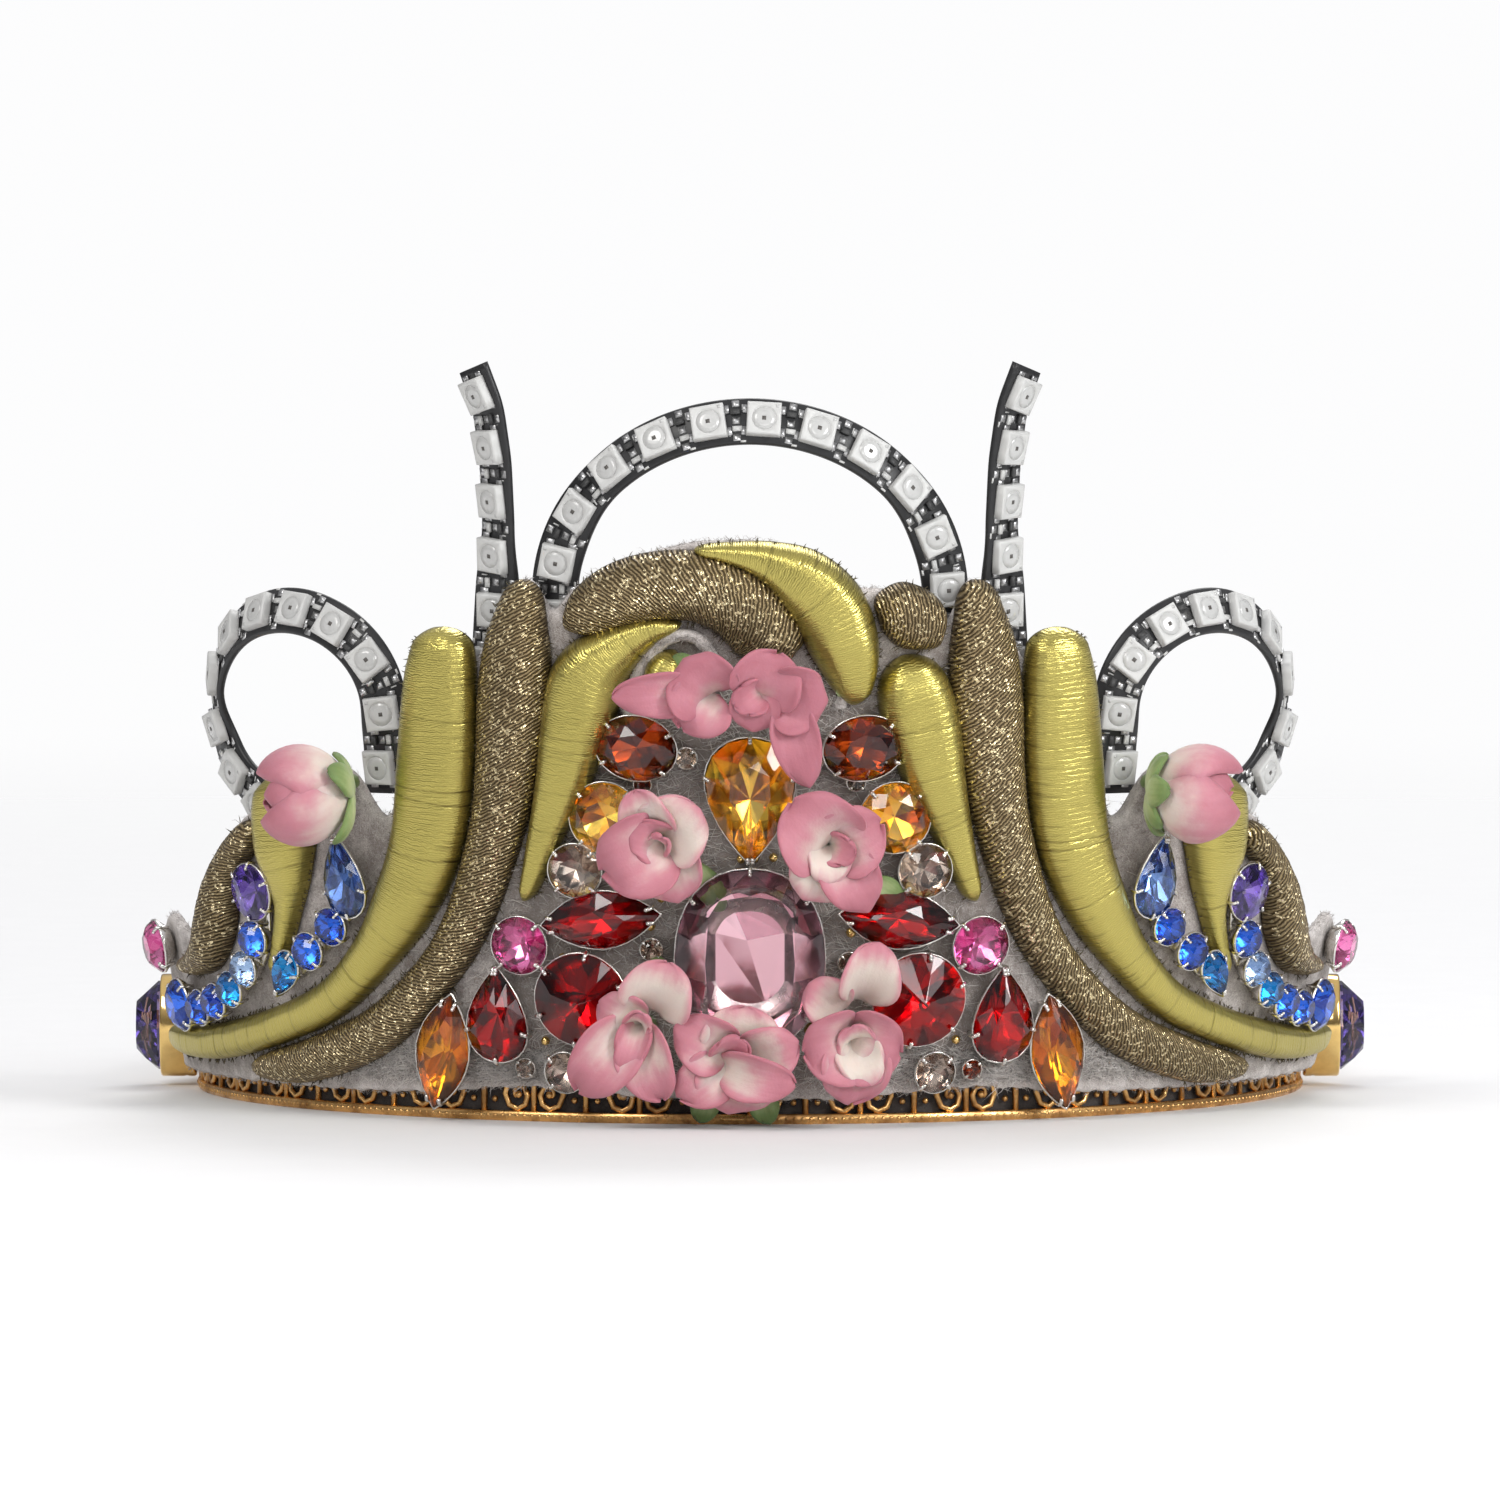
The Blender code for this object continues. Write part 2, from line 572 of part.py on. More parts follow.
ARCH_HALF_WIDTH = 30.5 * MM
ARCH_CENTRE_HEIGHT = 79 * MM
ARCH_RISE = 26.5 * MM
ARCH_FOOT_HEIGHT = 64 * MM
ARCH_HIDDEN = 86 * MM
LOOP_TURN = 46.3
LOOP_CENTRE_HEIGHT = 61.5 * MM
LOOP_HALF_WIDTH = 19.5 * MM
LOOP_RISE = 15 * MM
LOOP_HIDDEN = 54 * MM
LOOP_START = 175            # degrees round the loop, where it comes up behind the bud
LOOP_STOP = -62             # and where it goes down behind the edge leaf
LOOP_INNER_TAIL_LENGTH = 14 * MM
LOOP_OUTER_TAIL_LENGTH = 9 * MM
LOOP_OUTER_TAIL_OFFSET = 5 * MM     # how far the outer tail bends back under the loop
HORN_HIDDEN = 78 * MM
# Columns: clear width between the arch and the horn, height. The horn stands beside the arch's widest place.
HORN_PATH = ((6.1, 115), (3.3, 108), (2.15, 100), (1.75, 90), (2.35, 79), (3.2, 68), (3.5, 60))


def arc_path(centre, half_width, rise, start, stop, count=24):
    path = []
    for index in range(count + 1):
        angle = math.radians(start + (stop - start) * index / count)
        path.append(centre + Vector((math.cos(angle) * half_width, math.sin(angle) * rise)))
    return path


def arch_path():
    centre = flat(0, ARCH_CENTRE_HEIGHT)
    arc = arc_path(centre, ARCH_HALF_WIDTH, ARCH_RISE, 180, 0)
    left = Vector((arc[0].x, ARCH_FOOT_HEIGHT))
    right = Vector((arc[-1].x, ARCH_FOOT_HEIGHT))
    return [left] + arc + [right]


def loop_path():
    centre = flat(LOOP_TURN, LOOP_CENTRE_HEIGHT)
    arc = arc_path(centre, LOOP_HALF_WIDTH, LOOP_RISE, LOOP_START, LOOP_STOP)
    inner_tail = arc[0] - Vector((0, LOOP_INNER_TAIL_LENGTH))
    outer_tail = arc[-1] - Vector((LOOP_OUTER_TAIL_OFFSET, LOOP_OUTER_TAIL_LENGTH))
    return [inner_tail] + arc + [outer_tail]


def smooth_step(share):
    share = min(1.0, max(0.0, share))
    return share * share * (3 - 2 * share)


def even_points(path, spacing):
    """Points an even distance apart along a path, with the direction at each."""
    lengths = [0.0]
    for here, after in zip(path, path[1:]):
        lengths.append(lengths[-1] + (after - here).length)
    count = int(lengths[-1] / spacing)
    start = (lengths[-1] - count * spacing) / 2
    points = []
    segment = 0
    for index in range(count + 1):
        want = start + index * spacing
        while segment < len(path) - 2 and lengths[segment + 1] < want:
            segment += 1
        share = (want - lengths[segment]) / (lengths[segment + 1] - lengths[segment])
        points.append(path[segment].lerp(path[segment + 1], share))
    return points


def strip_frame(place, onward, hidden, sign):
    """Matrix on the strip's back face: X across the strip, Y along it, Z out of its lit face."""
    turn, height = unflat(place)
    frame = crest_frame(sign * turn, height, -GAP - STRIP_WALL - LIGHT_HEIGHT)
    heading = math.atan2(onward.y, sign * onward.x)
    along = frame.to_3x3() @ Vector((math.cos(heading), math.sin(heading), 0))
    aside = frame.to_3x3() @ Vector((-math.sin(heading), math.cos(heading), 0)) * sign
    face = frame.to_3x3() @ Vector((0, 0, 1))
    lean = STRIP_LEAN * smooth_step((height - hidden) / STRIP_LEAN_RISE)
    across = aside * math.cos(lean) - face * math.sin(lean)
    outward = face * math.cos(lean) + aside * math.sin(lean)
    result = Matrix((across, along, outward)).transposed().to_4x4()
    result.translation = frame.translation
    return result


def box_sections(width, length, bottom, top):
    corners = ((-1, -1), (1, -1), (1, 1), (-1, 1))
    return [[Vector((x * width / 2, y * length / 2, level)) for x, y in corners] for level in (bottom, top)]


def make_strip(name, path, hidden, sign=1):
    points = even_points(path, LIGHT_PITCH / 2)
    frames = []
    for index, place in enumerate(points):
        onward = points[min(index + 1, len(points) - 1)] - points[max(index - 1, 0)]
        frames.append(strip_frame(place, onward.normalized(), hidden, sign))
    half = STRIP_WIDTH / 2
    corners = ((-half, 0), (half, 0), (half, STRIP_WALL), (-half, STRIP_WALL))
    sections = [[frame @ Vector((x, 0, z)) for x, z in corners] for frame in frames]
    strip = new_object(name, loft_mesh(name, sections), "strip")
    shape = bmesh.new()
    for frame in frames[1:-1:2]:
        box = box_sections(LIGHT_SIZE, LIGHT_SIZE, STRIP_WALL - LIGHT_SINK, STRIP_WALL + LIGHT_HEIGHT)
        add_loft(shape, [[frame @ point for point in ring] for ring in box])
    add_boolean(strip, make_tool(f"{name}_lights", finish_mesh(shape, f"{name}_lights")), "UNION")


def make_strips():
    make_strip("strip_arch", arch_path(), ARCH_HIDDEN)
    horn = [Vector((ARCH_HALF_WIDTH + STRIP_WIDTH + clear * MM, height * MM)) for clear, height in HORN_PATH]
    loop = loop_path()
    for side, sign in (("left", -1), ("right", 1)):
        make_strip(f"strip_horn_{side}", horn, HORN_HIDDEN, sign)
        make_strip(f"strip_loop_{side}", loop, LOOP_HIDDEN, sign)


make_band()
make_lining()
make_backing()
for each_leaf in LEAVES:
    make_leaf(each_leaf)
make_stones()
for side_name, side_sign in (("left", -1), ("right", 1)):
    make_string(f"spray_{side_name}", SPRAY, side_sign)
    make_string(f"row_{side_name}", ROW, side_sign)
make_collets()
for each_rose in ROSES:
    make_rose(each_rose)
make_strips()
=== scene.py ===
# Tiara: a pierced band with a felt-backed crest of padded leaves, cut stones, roses and light strips.
# Metres, +Z up, front toward -Y. Turn is degrees round the band from the front middle, height is
# measured up the crest and proud outward from the felt's inner face.
import json
import math
import random

import bpy
import numpy as np
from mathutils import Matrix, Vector

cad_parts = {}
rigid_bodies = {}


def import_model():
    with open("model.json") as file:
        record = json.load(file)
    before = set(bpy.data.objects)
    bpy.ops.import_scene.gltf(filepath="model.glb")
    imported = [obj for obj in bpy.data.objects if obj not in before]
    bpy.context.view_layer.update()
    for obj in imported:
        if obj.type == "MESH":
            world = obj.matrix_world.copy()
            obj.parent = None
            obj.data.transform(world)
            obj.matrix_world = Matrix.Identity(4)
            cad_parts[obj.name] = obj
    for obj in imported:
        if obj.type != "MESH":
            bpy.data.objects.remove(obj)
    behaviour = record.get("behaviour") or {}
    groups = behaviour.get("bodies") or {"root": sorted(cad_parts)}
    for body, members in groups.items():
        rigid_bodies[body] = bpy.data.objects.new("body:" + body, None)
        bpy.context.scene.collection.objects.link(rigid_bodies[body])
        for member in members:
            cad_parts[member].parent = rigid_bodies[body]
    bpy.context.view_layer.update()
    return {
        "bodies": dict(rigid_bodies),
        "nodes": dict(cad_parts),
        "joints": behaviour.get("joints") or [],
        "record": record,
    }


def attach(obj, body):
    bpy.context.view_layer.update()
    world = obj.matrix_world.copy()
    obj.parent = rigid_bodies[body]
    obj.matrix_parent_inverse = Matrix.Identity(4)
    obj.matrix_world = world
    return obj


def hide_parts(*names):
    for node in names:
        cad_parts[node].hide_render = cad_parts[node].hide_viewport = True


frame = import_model()

# The view
# The tiara stands by itself on a plain pale floor that fades into a pale room. Large soft
# lamps light it, and a long lens looks at it from the front, a little above the floor.
VIEW_CENTRE = Vector((0, 0, 0.0555))
VIEW_WIDTH = 0.222
CAMERA_AWAY = 1.6
CAMERA_ELEVATION = math.radians(2.2)
SENSOR_WIDTH = 36
# Name, place, width and height, power in watts, colour.
LAMPS = (
    ("lamp_key", (-1.0, -1.3, 1.35), (0.7, 0.7), 15, (1.0, 0.98, 0.95)),
    ("lamp_fill", (1.4, -1.2, 0.7), (0.8, 0.8), 5.5, (0.96, 0.98, 1.0)),
    ("lamp_back", (0.3, 1.3, 1.5), (1.0, 0.6), 13, (1.0, 1.0, 1.0)),
    ("lamp_glint", (1.0, -0.8, 0.6), (0.45, 0.45), 9, (1.0, 1.0, 1.0)),
    ("lamp_front", (0.25, -1.9, 0.6), (0.9, 0.4), 6, (1.0, 1.0, 1.0)),
)
FLOOR_RADIUS = 6.0
FLOOR_FADE = (0.3, 1.6)
FLOOR_SHADES = (0.80, 0.83)
ROOM_SEEN = (0.98, 0.98, 0.985)
# Place from the room's middle up, and colour of its light.
ROOM_LIGHT = ((0.0, (0.10, 0.10, 0.11)), (0.75, (0.66, 0.66, 0.68)))


class Nodes:
    """The shader nodes of one tree. A value given to a node is a plain one or another node's output."""

    def __init__(self, tree):
        self.tree = tree

    def put(self, value, socket):
        if isinstance(value, bpy.types.NodeSocket):
            self.tree.links.new(value, socket)
        else:
            socket.default_value = (*value, 1) if socket.type == "RGBA" else value

    def add(self, kind, values=None, out=0, **settings):
        """A node with its settings and values made. It gives one output, or all of them for None."""
        node = self.tree.nodes.new("ShaderNode" + kind)
        for key, value in settings.items():
            setattr(node, key, value)
        for key, value in (values or {}).items():
            self.put(value, node.inputs[key])
        return node.outputs if out is None else node.outputs[out]

    def group(self, tree, **values):
        return self.add("Group", values, None, node_tree=tree)

    def place(self):
        return self.add("TexCoord", out="Object")

    def tone(self):
        return self.add("VertexColor", out="Color", layer_name="tone")

    def noise(self, place, scale, detail=2, **more):
        return self.add("TexNoise", {"Vector": place, "Scale": scale, "Detail": detail, **more})

    def math(self, operation, *values):
        return self.add("Math", dict(enumerate(values)), operation=operation)

    def mix(self, share, first, second):
        return self.add("Mix", {0: share, 6: first, 7: second}, 2, data_type="RGBA")

    def spread(self, value, low=0, high=1, to_low=0, to_high=1, **settings):
        """A value with its range from low to high spread over another range."""
        return self.add("MapRange", {
            "Value": value, "From Min": low, "From Max": high, "To Min": to_low, "To Max": to_high},
            **settings)

    def bump(self, height, strength, distance=0.0002):
        return self.add("Bump", {"Height": height, "Strength": strength, "Distance": distance})


def new_material(name, look):
    """A material. Its look is a function from its nodes to the values and outputs for its shader."""
    material = bpy.data.materials.new(name)
    material.use_nodes = True
    nodes = Nodes(material.node_tree)
    for key, value in look(nodes).items():
        nodes.put(value, nodes.tree.nodes["Principled BSDF"].inputs[key])
    return material


def add_object(name, data, place=None):
    """An object in the scene. One with a place is turned to look at the tiara."""
    thing = bpy.data.objects.new(name, data)
    if place is not None:
        thing.location = place
        thing.rotation_euler = (VIEW_CENTRE - thing.location).to_track_quat("-Z", "Y").to_euler()
    bpy.context.scene.collection.objects.link(thing)
    return thing


def floor_look(n):
    place = n.place()
    return {"Roughness": 0.9, "Base Color": n.spread(n.noise(place, 90, 4), 0, 1, *FLOOR_SHADES),
            "Alpha": n.spread(n.add("VectorMath", {0: place}, "Value", operation="LENGTH"), *FLOOR_FADE, 1, 0,
                              interpolation_type="SMOOTHSTEP")}


camera = bpy.data.cameras.new("camera")
camera.sensor_width = SENSOR_WIDTH
camera.lens = SENSOR_WIDTH * CAMERA_AWAY / VIEW_WIDTH
camera.clip_end = 30
bpy.context.scene.camera = add_object("camera", camera, VIEW_CENTRE + CAMERA_AWAY * Vector(
    (0, -math.cos(CAMERA_ELEVATION), math.sin(CAMERA_ELEVATION))))
bpy.context.scene.view_settings.view_transform = "Standard"
for name, place, size, power, colour in LAMPS:
    lamp = bpy.data.lights.new(name, "AREA")
    lamp.shape = "RECTANGLE"
    lamp.size, lamp.size_y = size
    lamp.energy, lamp.color = power, colour
    add_object(name, lamp, place)

bpy.context.scene.world = bpy.data.worlds.new("room")
bpy.context.scene.world.use_nodes = True
room = Nodes(bpy.context.scene.world.node_tree)
level = room.add("SeparateXYZ", {0: room.add("TexCoord", out="Generated")}, "Z")
light = room.add("ValToRGB", {0: level}, "Color")
for step, (position, colour) in zip(light.node.color_ramp.elements, ROOM_LIGHT):
    step.position, step.color = position, (*colour, 1)
room.put(room.mix(room.add("LightPath", out="Is Camera Ray"), light, ROOM_SEEN),
         room.tree.nodes["Background"].inputs["Color"])

floor_mesh = bpy.data.meshes.new("floor")
corners = [(x * FLOOR_RADIUS, y * FLOOR_RADIUS, 0) for x, y in ((-1, -1), (1, -1), (1, 1), (-1, 1))]
floor_mesh.from_pydata(corners, [], [(0, 1, 2, 3)])
floor_mesh.materials.append(new_material("floor_paper", floor_look))
floor = add_object("floor", floor_mesh)

# Band
# One thin pierced strip of copper-gold alloy, bent to a horseshoe. Between two rails with a beaded
# edge it has a scroll of wire in each cell, soldered at the ends, with a bead in each curl.
BAND_RADIUS = 0.0854
BAND_WALL = 0.0012
BAND_HEIGHT = 0.012
ARM_HEIGHT = 0.008
ARM_LENGTH = 0.074
ARM_END_OFFSET = 0.008
BAND_END_TURN = 138.0
BAND_CELLS = 50
RAIL = 0.0015
# Share of the wall across and of the rail up.
RAIL_PROFILE = ((-0.5, 0.12), (-0.3, 0), (0.3, 0), (0.5, 0.12), (0.5, 0.88), (0.3, 1), (-0.3, 1),
                (-0.5, 0.88))
BEAD_PITCH = 0.0012
BEAD_RADIUS = 0.00042
WIRE_RADIUS = 0.00048
POST_RADIUS = 0.0005
BEAD_SINK = 0.32
# How far in from the band's ends the last bead and the last post stand, in degrees.
END_BEAD, END_POST = 0.6, 0.4
# The scroll fills this share of its cell. Its curls wind inward to a share of their radius.
SCROLL_SHARE = 0.47
SCROLL_TURN = 2.5 * math.pi
SCROLL_EYE = 0.22
CURL = (0.42, 0.46)
# Place in the cell, from -1 to 1 both ways, and radius.
CURL_BEADS = ((0.42, 0.46, 0.0006), (-0.42, -0.46, 0.0006), (-0.6, 0.62, 0.0005), (0.6, -0.62, 0.0005))
COPPER, COPPER_DARK = (0.84, 0.50, 0.19), (0.20, 0.075, 0.025)


def circle(count):
    angle = 2 * np.pi * np.arange(count) / count
    return np.stack((np.cos(angle), np.sin(angle)), 1)


def ring_at(flat, level):
    """Flat points at a level."""
    return np.column_stack((flat, np.full(len(flat), level)))


def loft_faces(rings, columns):
    """Quads round a closed body of rings, and its two flat ends."""
    row, column = columns * np.arange(rings - 1)[:, None], np.arange(columns)
    after = (column + 1) % columns
    quads = np.stack((row + column, row + after, row + columns + after, row + columns + column), -1)
    end = column[None, ::-1]
    return [quads.reshape(-1, 4), end, end[:, ::-1] + (rings - 1) * columns]


BALL = np.concatenate([ring_at(circle(8) * np.cos(angle), np.sin(angle))
                       for angle in np.linspace(-0.96, 0.96, 5) * np.pi / 2])
BALL_FACES = loft_faces(5, 8)


class Shape:
    """Points and faces gathered for one joined mesh, with a tone and a place in the weave at each corner."""

    def __init__(self):
        self.points, self.faces, self.count = [], [], 0

    def add(self, points, face_groups, tone=0.0, slot=0, weave=None, smooth=True):
        """face_groups are arrays with one row of point numbers a face. tone is one value or one a point."""
        for faces in face_groups:
            faces = np.asarray(faces, int)
            corners = faces.ravel()
            sizes, slots, smooths = (np.full(len(faces), value) for value in (faces.shape[1], slot, smooth))
            self.faces.append((
                corners + self.count, sizes, slots, smooths,
                np.ravel(tone)[corners] if np.ndim(tone) else np.full(len(corners), float(tone)),
                np.zeros((len(corners), 2)) if weave is None else np.reshape(weave, (-1, 2))[corners]))
        self.points.append(np.reshape(points, (-1, 3)).astype(float))
        self.count += len(self.points[-1])

    def loft(self, rings, tone=0.0, slot=0, weave=None):
        """A closed body through rings that have the same number of points."""
        self.add(rings, loft_faces(*np.shape(rings)[:2]), tone, slot, weave)

    def tube(self, path, radius, sides, slot=0, frame=None):
        """A wire round a path, turned as little as may be from one of its points to the next."""
        path = np.asarray(path, float)
        onward = np.gradient(path, axis=0)
        onward /= np.linalg.norm(onward, axis=1)[:, None] + 1e-12
        side = np.cross(onward[0], (0.0, 0.0, 1.0))
        if np.linalg.norm(side) < 0.1:
            side = np.cross(onward[0], (0.0, 1.0, 0.0))
        rings = []
        for point, ahead, size in zip(path, onward, np.broadcast_to(radius, len(path))):
            side = side - ahead * side.dot(ahead)
            side /= np.linalg.norm(side)
            rings.append(point + size * circle(sides) @ np.stack((side, np.cross(ahead, side))))
        self.loft(placed(frame, rings) if frame else rings, slot=slot)

    def ball(self, centre, radius, slot=0):
        self.add(centre + BALL * radius, BALL_FACES, slot=slot)

    def build(self, name, materials, slot):
        """The finished object, riding on the tiara. Its slot is not used."""
        points = np.concatenate(self.points)
        loops, sizes, slots, smooths, tones, weaves = (np.concatenate(part) for part in zip(*self.faces))
        mesh = bpy.data.meshes.new(name)
        mesh.vertices.add(len(points))
        mesh.loops.add(len(loops))
        mesh.polygons.add(len(sizes))
        starts = np.concatenate(([0], np.cumsum(sizes)[:-1]))
        mesh.vertices.foreach_set("co", points.astype(np.float32).ravel())
        mesh.loops.foreach_set("vertex_index", loops.astype(np.int32))
        for key, values in (("loop_start", starts), ("loop_total", sizes), ("material_index", slots)):
            mesh.polygons.foreach_set(key, values.astype(np.int32))
        mesh.polygons.foreach_set("use_smooth", smooths)
        mesh.update(calc_edges=True)
        mesh.uv_layers.new(name="weave").data.foreach_set("uv", weaves.astype(np.float32).ravel())
        tone = mesh.color_attributes.new(name="tone", type="FLOAT_COLOR", domain="CORNER")
        colours = np.stack((tones, tones, tones, np.ones_like(tones)), 1)
        tone.data.foreach_set("color", colours.astype(np.float32).ravel())
        mesh.validate()
        for material in materials:
            mesh.materials.append(material)
        piece = add_object(name, mesh)
        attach(piece, "root")
        return piece


def placed(frame, points):
    """Points given in a frame, which is its three axes and its origin."""
    return np.asarray(points) @ frame[0] + frame[1]


def band_places(turn, outward, height):
    """Places round the band, for arrays of turn in degrees and of metres out from mid-wall and up."""
    turn, outward, height = np.broadcast_arrays(np.asarray(turn, float), outward, height)
    front = np.radians(np.minimum(np.abs(turn), 90))
    back = np.radians(np.maximum(np.abs(turn) - 90, 0)) * BAND_RADIUS / ARM_LENGTH
    normal_x, normal_y = np.sin(front), -np.cos(front) + 2 * ARM_END_OFFSET * back / ARM_LENGTH
    length = np.hypot(normal_x, normal_y)
    x = BAND_RADIUS * np.sin(front) - ARM_END_OFFSET * back ** 2 + outward * normal_x / length
    y = BAND_RADIUS * (1 - np.cos(front)) + ARM_LENGTH * back + outward * normal_y / length
    return np.stack((np.where(turn < 0, -x, x), y, height), -1)


def band_height(turn):
    share = np.clip((np.abs(turn) - 90) / (BAND_END_TURN - 90), 0, 1)
    return BAND_HEIGHT + (ARM_HEIGHT - BAND_HEIGHT) * share


def new_group(effect, colours, numbers=()):
    """A node group named for its effect, which is a function from nodes and inputs to named outputs."""
    tree = bpy.data.node_groups.new(effect.__name__.replace("_", " "), "ShaderNodeTree")
    for name in (*colours, *numbers):
        kind = "NodeSocketColor" if name in colours else "NodeSocketFloat"
        tree.interface.new_socket(name, in_out="INPUT", socket_type=kind)
    outputs = effect(Nodes(tree), tree.nodes.new("NodeGroupInput").outputs)
    for name, value in outputs.items():
        kind = "NodeSocketColor" if value.type == "RGBA" else "NodeSocketFloat"
        tree.interface.new_socket(name, in_out="OUTPUT", socket_type=kind)
    result = tree.nodes.new("NodeGroupOutput")
    for name, value in outputs.items():
        tree.links.new(value, result.inputs[name])
    return tree


def metal_wear(n, given):
    """Cloudy polish, darker in the hollows of its grain, with fine scratches."""
    place = n.place()
    mask = n.spread(n.noise(place, 260, 5, Roughness=0.65), 0.42, 0.68, 0, given["Dullness"])
    return {"Colour": n.mix(mask, given["Bright"], given["Dull"]),
            "Roughness": n.math("MULTIPLY_ADD", mask, 0.35, given["Polish"]),
            "Height": n.noise(place, 1900, 3)}


METAL_WEAR = new_group(metal_wear, ("Bright", "Dull"), ("Dullness", "Polish"))


def metal_material(name, bright, dull, dullness, polish, bump):
    def look(n):
        wear = n.group(METAL_WEAR, Bright=bright, Dull=dull, Dullness=dullness, Polish=polish)
        return {"Metallic": 1.0, "Base Color": wear["Colour"], "Roughness": wear["Roughness"],
                "Normal": n.bump(wear["Height"], bump)}
    return new_material(name, look)


band = Shape()
band_turns = np.linspace(-BAND_END_TURN, BAND_END_TURN, BAND_CELLS * 4 + 1)
for rail_foot in (np.zeros_like(band_turns), band_height(band_turns) - RAIL):
    band.loft(np.stack([band_places(band_turns, across * BAND_WALL, rail_foot + rise * RAIL)
                        for across, rise in RAIL_PROFILE], 1))
bead_count = int(2 * BAND_END_TURN / math.degrees(1 / BAND_RADIUS) / BEAD_PITCH)
for turn in np.linspace(-BAND_END_TURN + END_BEAD, BAND_END_TURN - END_BEAD, bead_count):
    for height in (RAIL * 0.5, band_height(turn) - RAIL * 0.5):
        band.ball(band_places(turn, BAND_WALL * BEAD_SINK, height), BEAD_RADIUS)
# Half of an S-scroll in a cell that runs from -1 to 1 both ways, out of its curl to the middle.
share = np.linspace(0, 1, 11)
angle = math.atan2(-CURL[1], -CURL[0]) - (1 - share) * SCROLL_TURN
radius = math.hypot(*CURL) * (SCROLL_EYE + (1 - SCROLL_EYE) * share)
half_scroll = np.stack((CURL[0] + radius * np.cos(angle), CURL[1] + radius * np.sin(angle)))
scroll_x, scroll_y = np.concatenate((half_scroll, -half_scroll[:, -2::-1]), 1)
from_end = np.minimum(np.arange(len(scroll_x)), np.arange(len(scroll_x))[::-1])
cell_width = 2 * BAND_END_TURN / BAND_CELLS
for cell in range(BAND_CELLS):
    middle = -BAND_END_TURN + cell_width * (cell + 0.5)
    half_width = (1 if cell % 2 else -1) * cell_width * SCROLL_SHARE
    half_height = (band_height(middle) - 2 * RAIL) / 2
    path = band_places(middle + scroll_x * half_width, 0.0, band_height(middle) / 2 + scroll_y * half_height)
    band.tube(path, WIRE_RADIUS * (0.5 + 0.5 * np.minimum(1, from_end / 5)), 7)
    for x, y, size in CURL_BEADS:
        band.ball(band_places(middle + x * half_width, 0.0, band_height(middle) / 2 + y * half_height), size)
last_post = BAND_END_TURN - END_POST
for turn in np.linspace(-BAND_END_TURN, BAND_END_TURN, BAND_CELLS + 1).clip(-last_post, last_post):
    band.tube(band_places(turn, 0.0, np.array((RAIL * 0.6, band_height(turn) - RAIL * 0.6))), POST_RADIUS, 7)
copper = metal_material("copper_alloy", COPPER, COPPER_DARK, 0.75, 0.24, 0.12)
band_piece = band.build("band_filigree", [copper], "copper")
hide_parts("band")

# Lining
# Two strips of felt, a thin dark one against the metal and a soft grey one against the head. They
# are sewn to the band through its scrolls with small running stitches, and stop short of its ends.
LINING_WALL = 0.0025
LINING_DARK_SHARE = 0.34
LINING_END_TURN = 116.0
LINING_EDGE = 0.0008
LINING_HAIRS = 2600
# Share of a strip's thickness outward and of its height.
LINING_PROFILE = ((0.0, 0.06), (0.12, 0.0), (0.88, 0.0), (1.0, 0.06), (1.0, 0.5), (1.0, 0.94), (0.88, 1.0),
                  (0.12, 1.0), (0.0, 0.94), (0.0, 0.5))
LAYER_GAP = 0.00005
GAP = 0.0003
STITCH_LENGTH = 0.0026
STITCH_PITCH = 0.0052
STITCH_RADIUS = 0.00024
STITCH_EDGE = 0.0014
STITCH_BOW = np.array((-0.0003, 0.0002, 0.0003, 0.0002, -0.0003))


def matted_fibre(n, given):
    """Clouds of lighter and darker wool over fine crossing hairs, darker by painted shade and matting."""
    place = n.place()
    height = n.math("ADD", n.noise(place, 300, 7, Roughness=0.75), n.noise(place, 2600, 3, Distortion=2.5))
    share = n.spread(n.math("MULTIPLY_ADD", given["Packed"], -0.32, height), 0.68, 1.2)
    return {"Colour": n.mix(share, given["Dark"], given["Light"]), "Height": height}


MATTED_FIBRE = new_group(matted_fibre, ("Light", "Dark"), ("Packed",))


def felt_material(name, light, dark):
    def look(n):
        fibre = n.group(MATTED_FIBRE, Light=light, Dark=dark, Packed=n.tone())
        return {"Roughness": 1.0, "Sheen Weight": 0.25, "Sheen Roughness": 0.5, "Base Color": fibre["Colour"],
                "Normal": n.bump(fibre["Height"], 0.6, 0.0003)}
    return new_material(name, look)


def thread_specks(n, given):
    """Specks of darker and lighter fibre in spun thread."""
    return {"Colour": n.mix(n.noise(n.place(), given["Scale"]), given["Dark"], given["Light"])}


THREAD_SPECKS = new_group(thread_specks, ("Dark", "Light"), ("Scale",))


def thread_material(name, scale, dark, light, **plain):
    def look(n):
        specks = n.group(THREAD_SPECKS, Scale=scale, Dark=dark, Light=light)
        return {**plain, "Base Color": specks["Colour"]}
    return new_material(name, look)


def add_hairs(shape, roots, offsets, bends, radius, slot=0):
    """Thin three-sided hairs that taper from roots to roots + offsets and bow by bends."""
    side = np.cross(offsets, bends + (1e-5, 2e-5, 3e-5))
    side /= np.linalg.norm(side, axis=1)[:, None]
    other = np.cross(offsets, side)
    other /= np.linalg.norm(other, axis=1)[:, None]
    rings = [roots + (offsets + bends) * share
             + radius * size * (math.cos(angle) * side + math.sin(angle) * other)
             for share, size in ((0.0, 1.0), (0.5, 0.8)) for angle in (0, 2.094, 4.189)]
    start = 7 * np.arange(len(roots))[:, None, None]
    shape.add(np.stack(rings + [roots + offsets], 1), [
        (start + faces).reshape(-1, len(faces[0]))
        for faces in (((0, 1, 4, 3), (1, 2, 5, 4), (2, 0, 3, 5)),
                      ((3, 4, 6), (4, 5, 6), (5, 3, 6), (2, 1, 0)))],
        slot=slot)


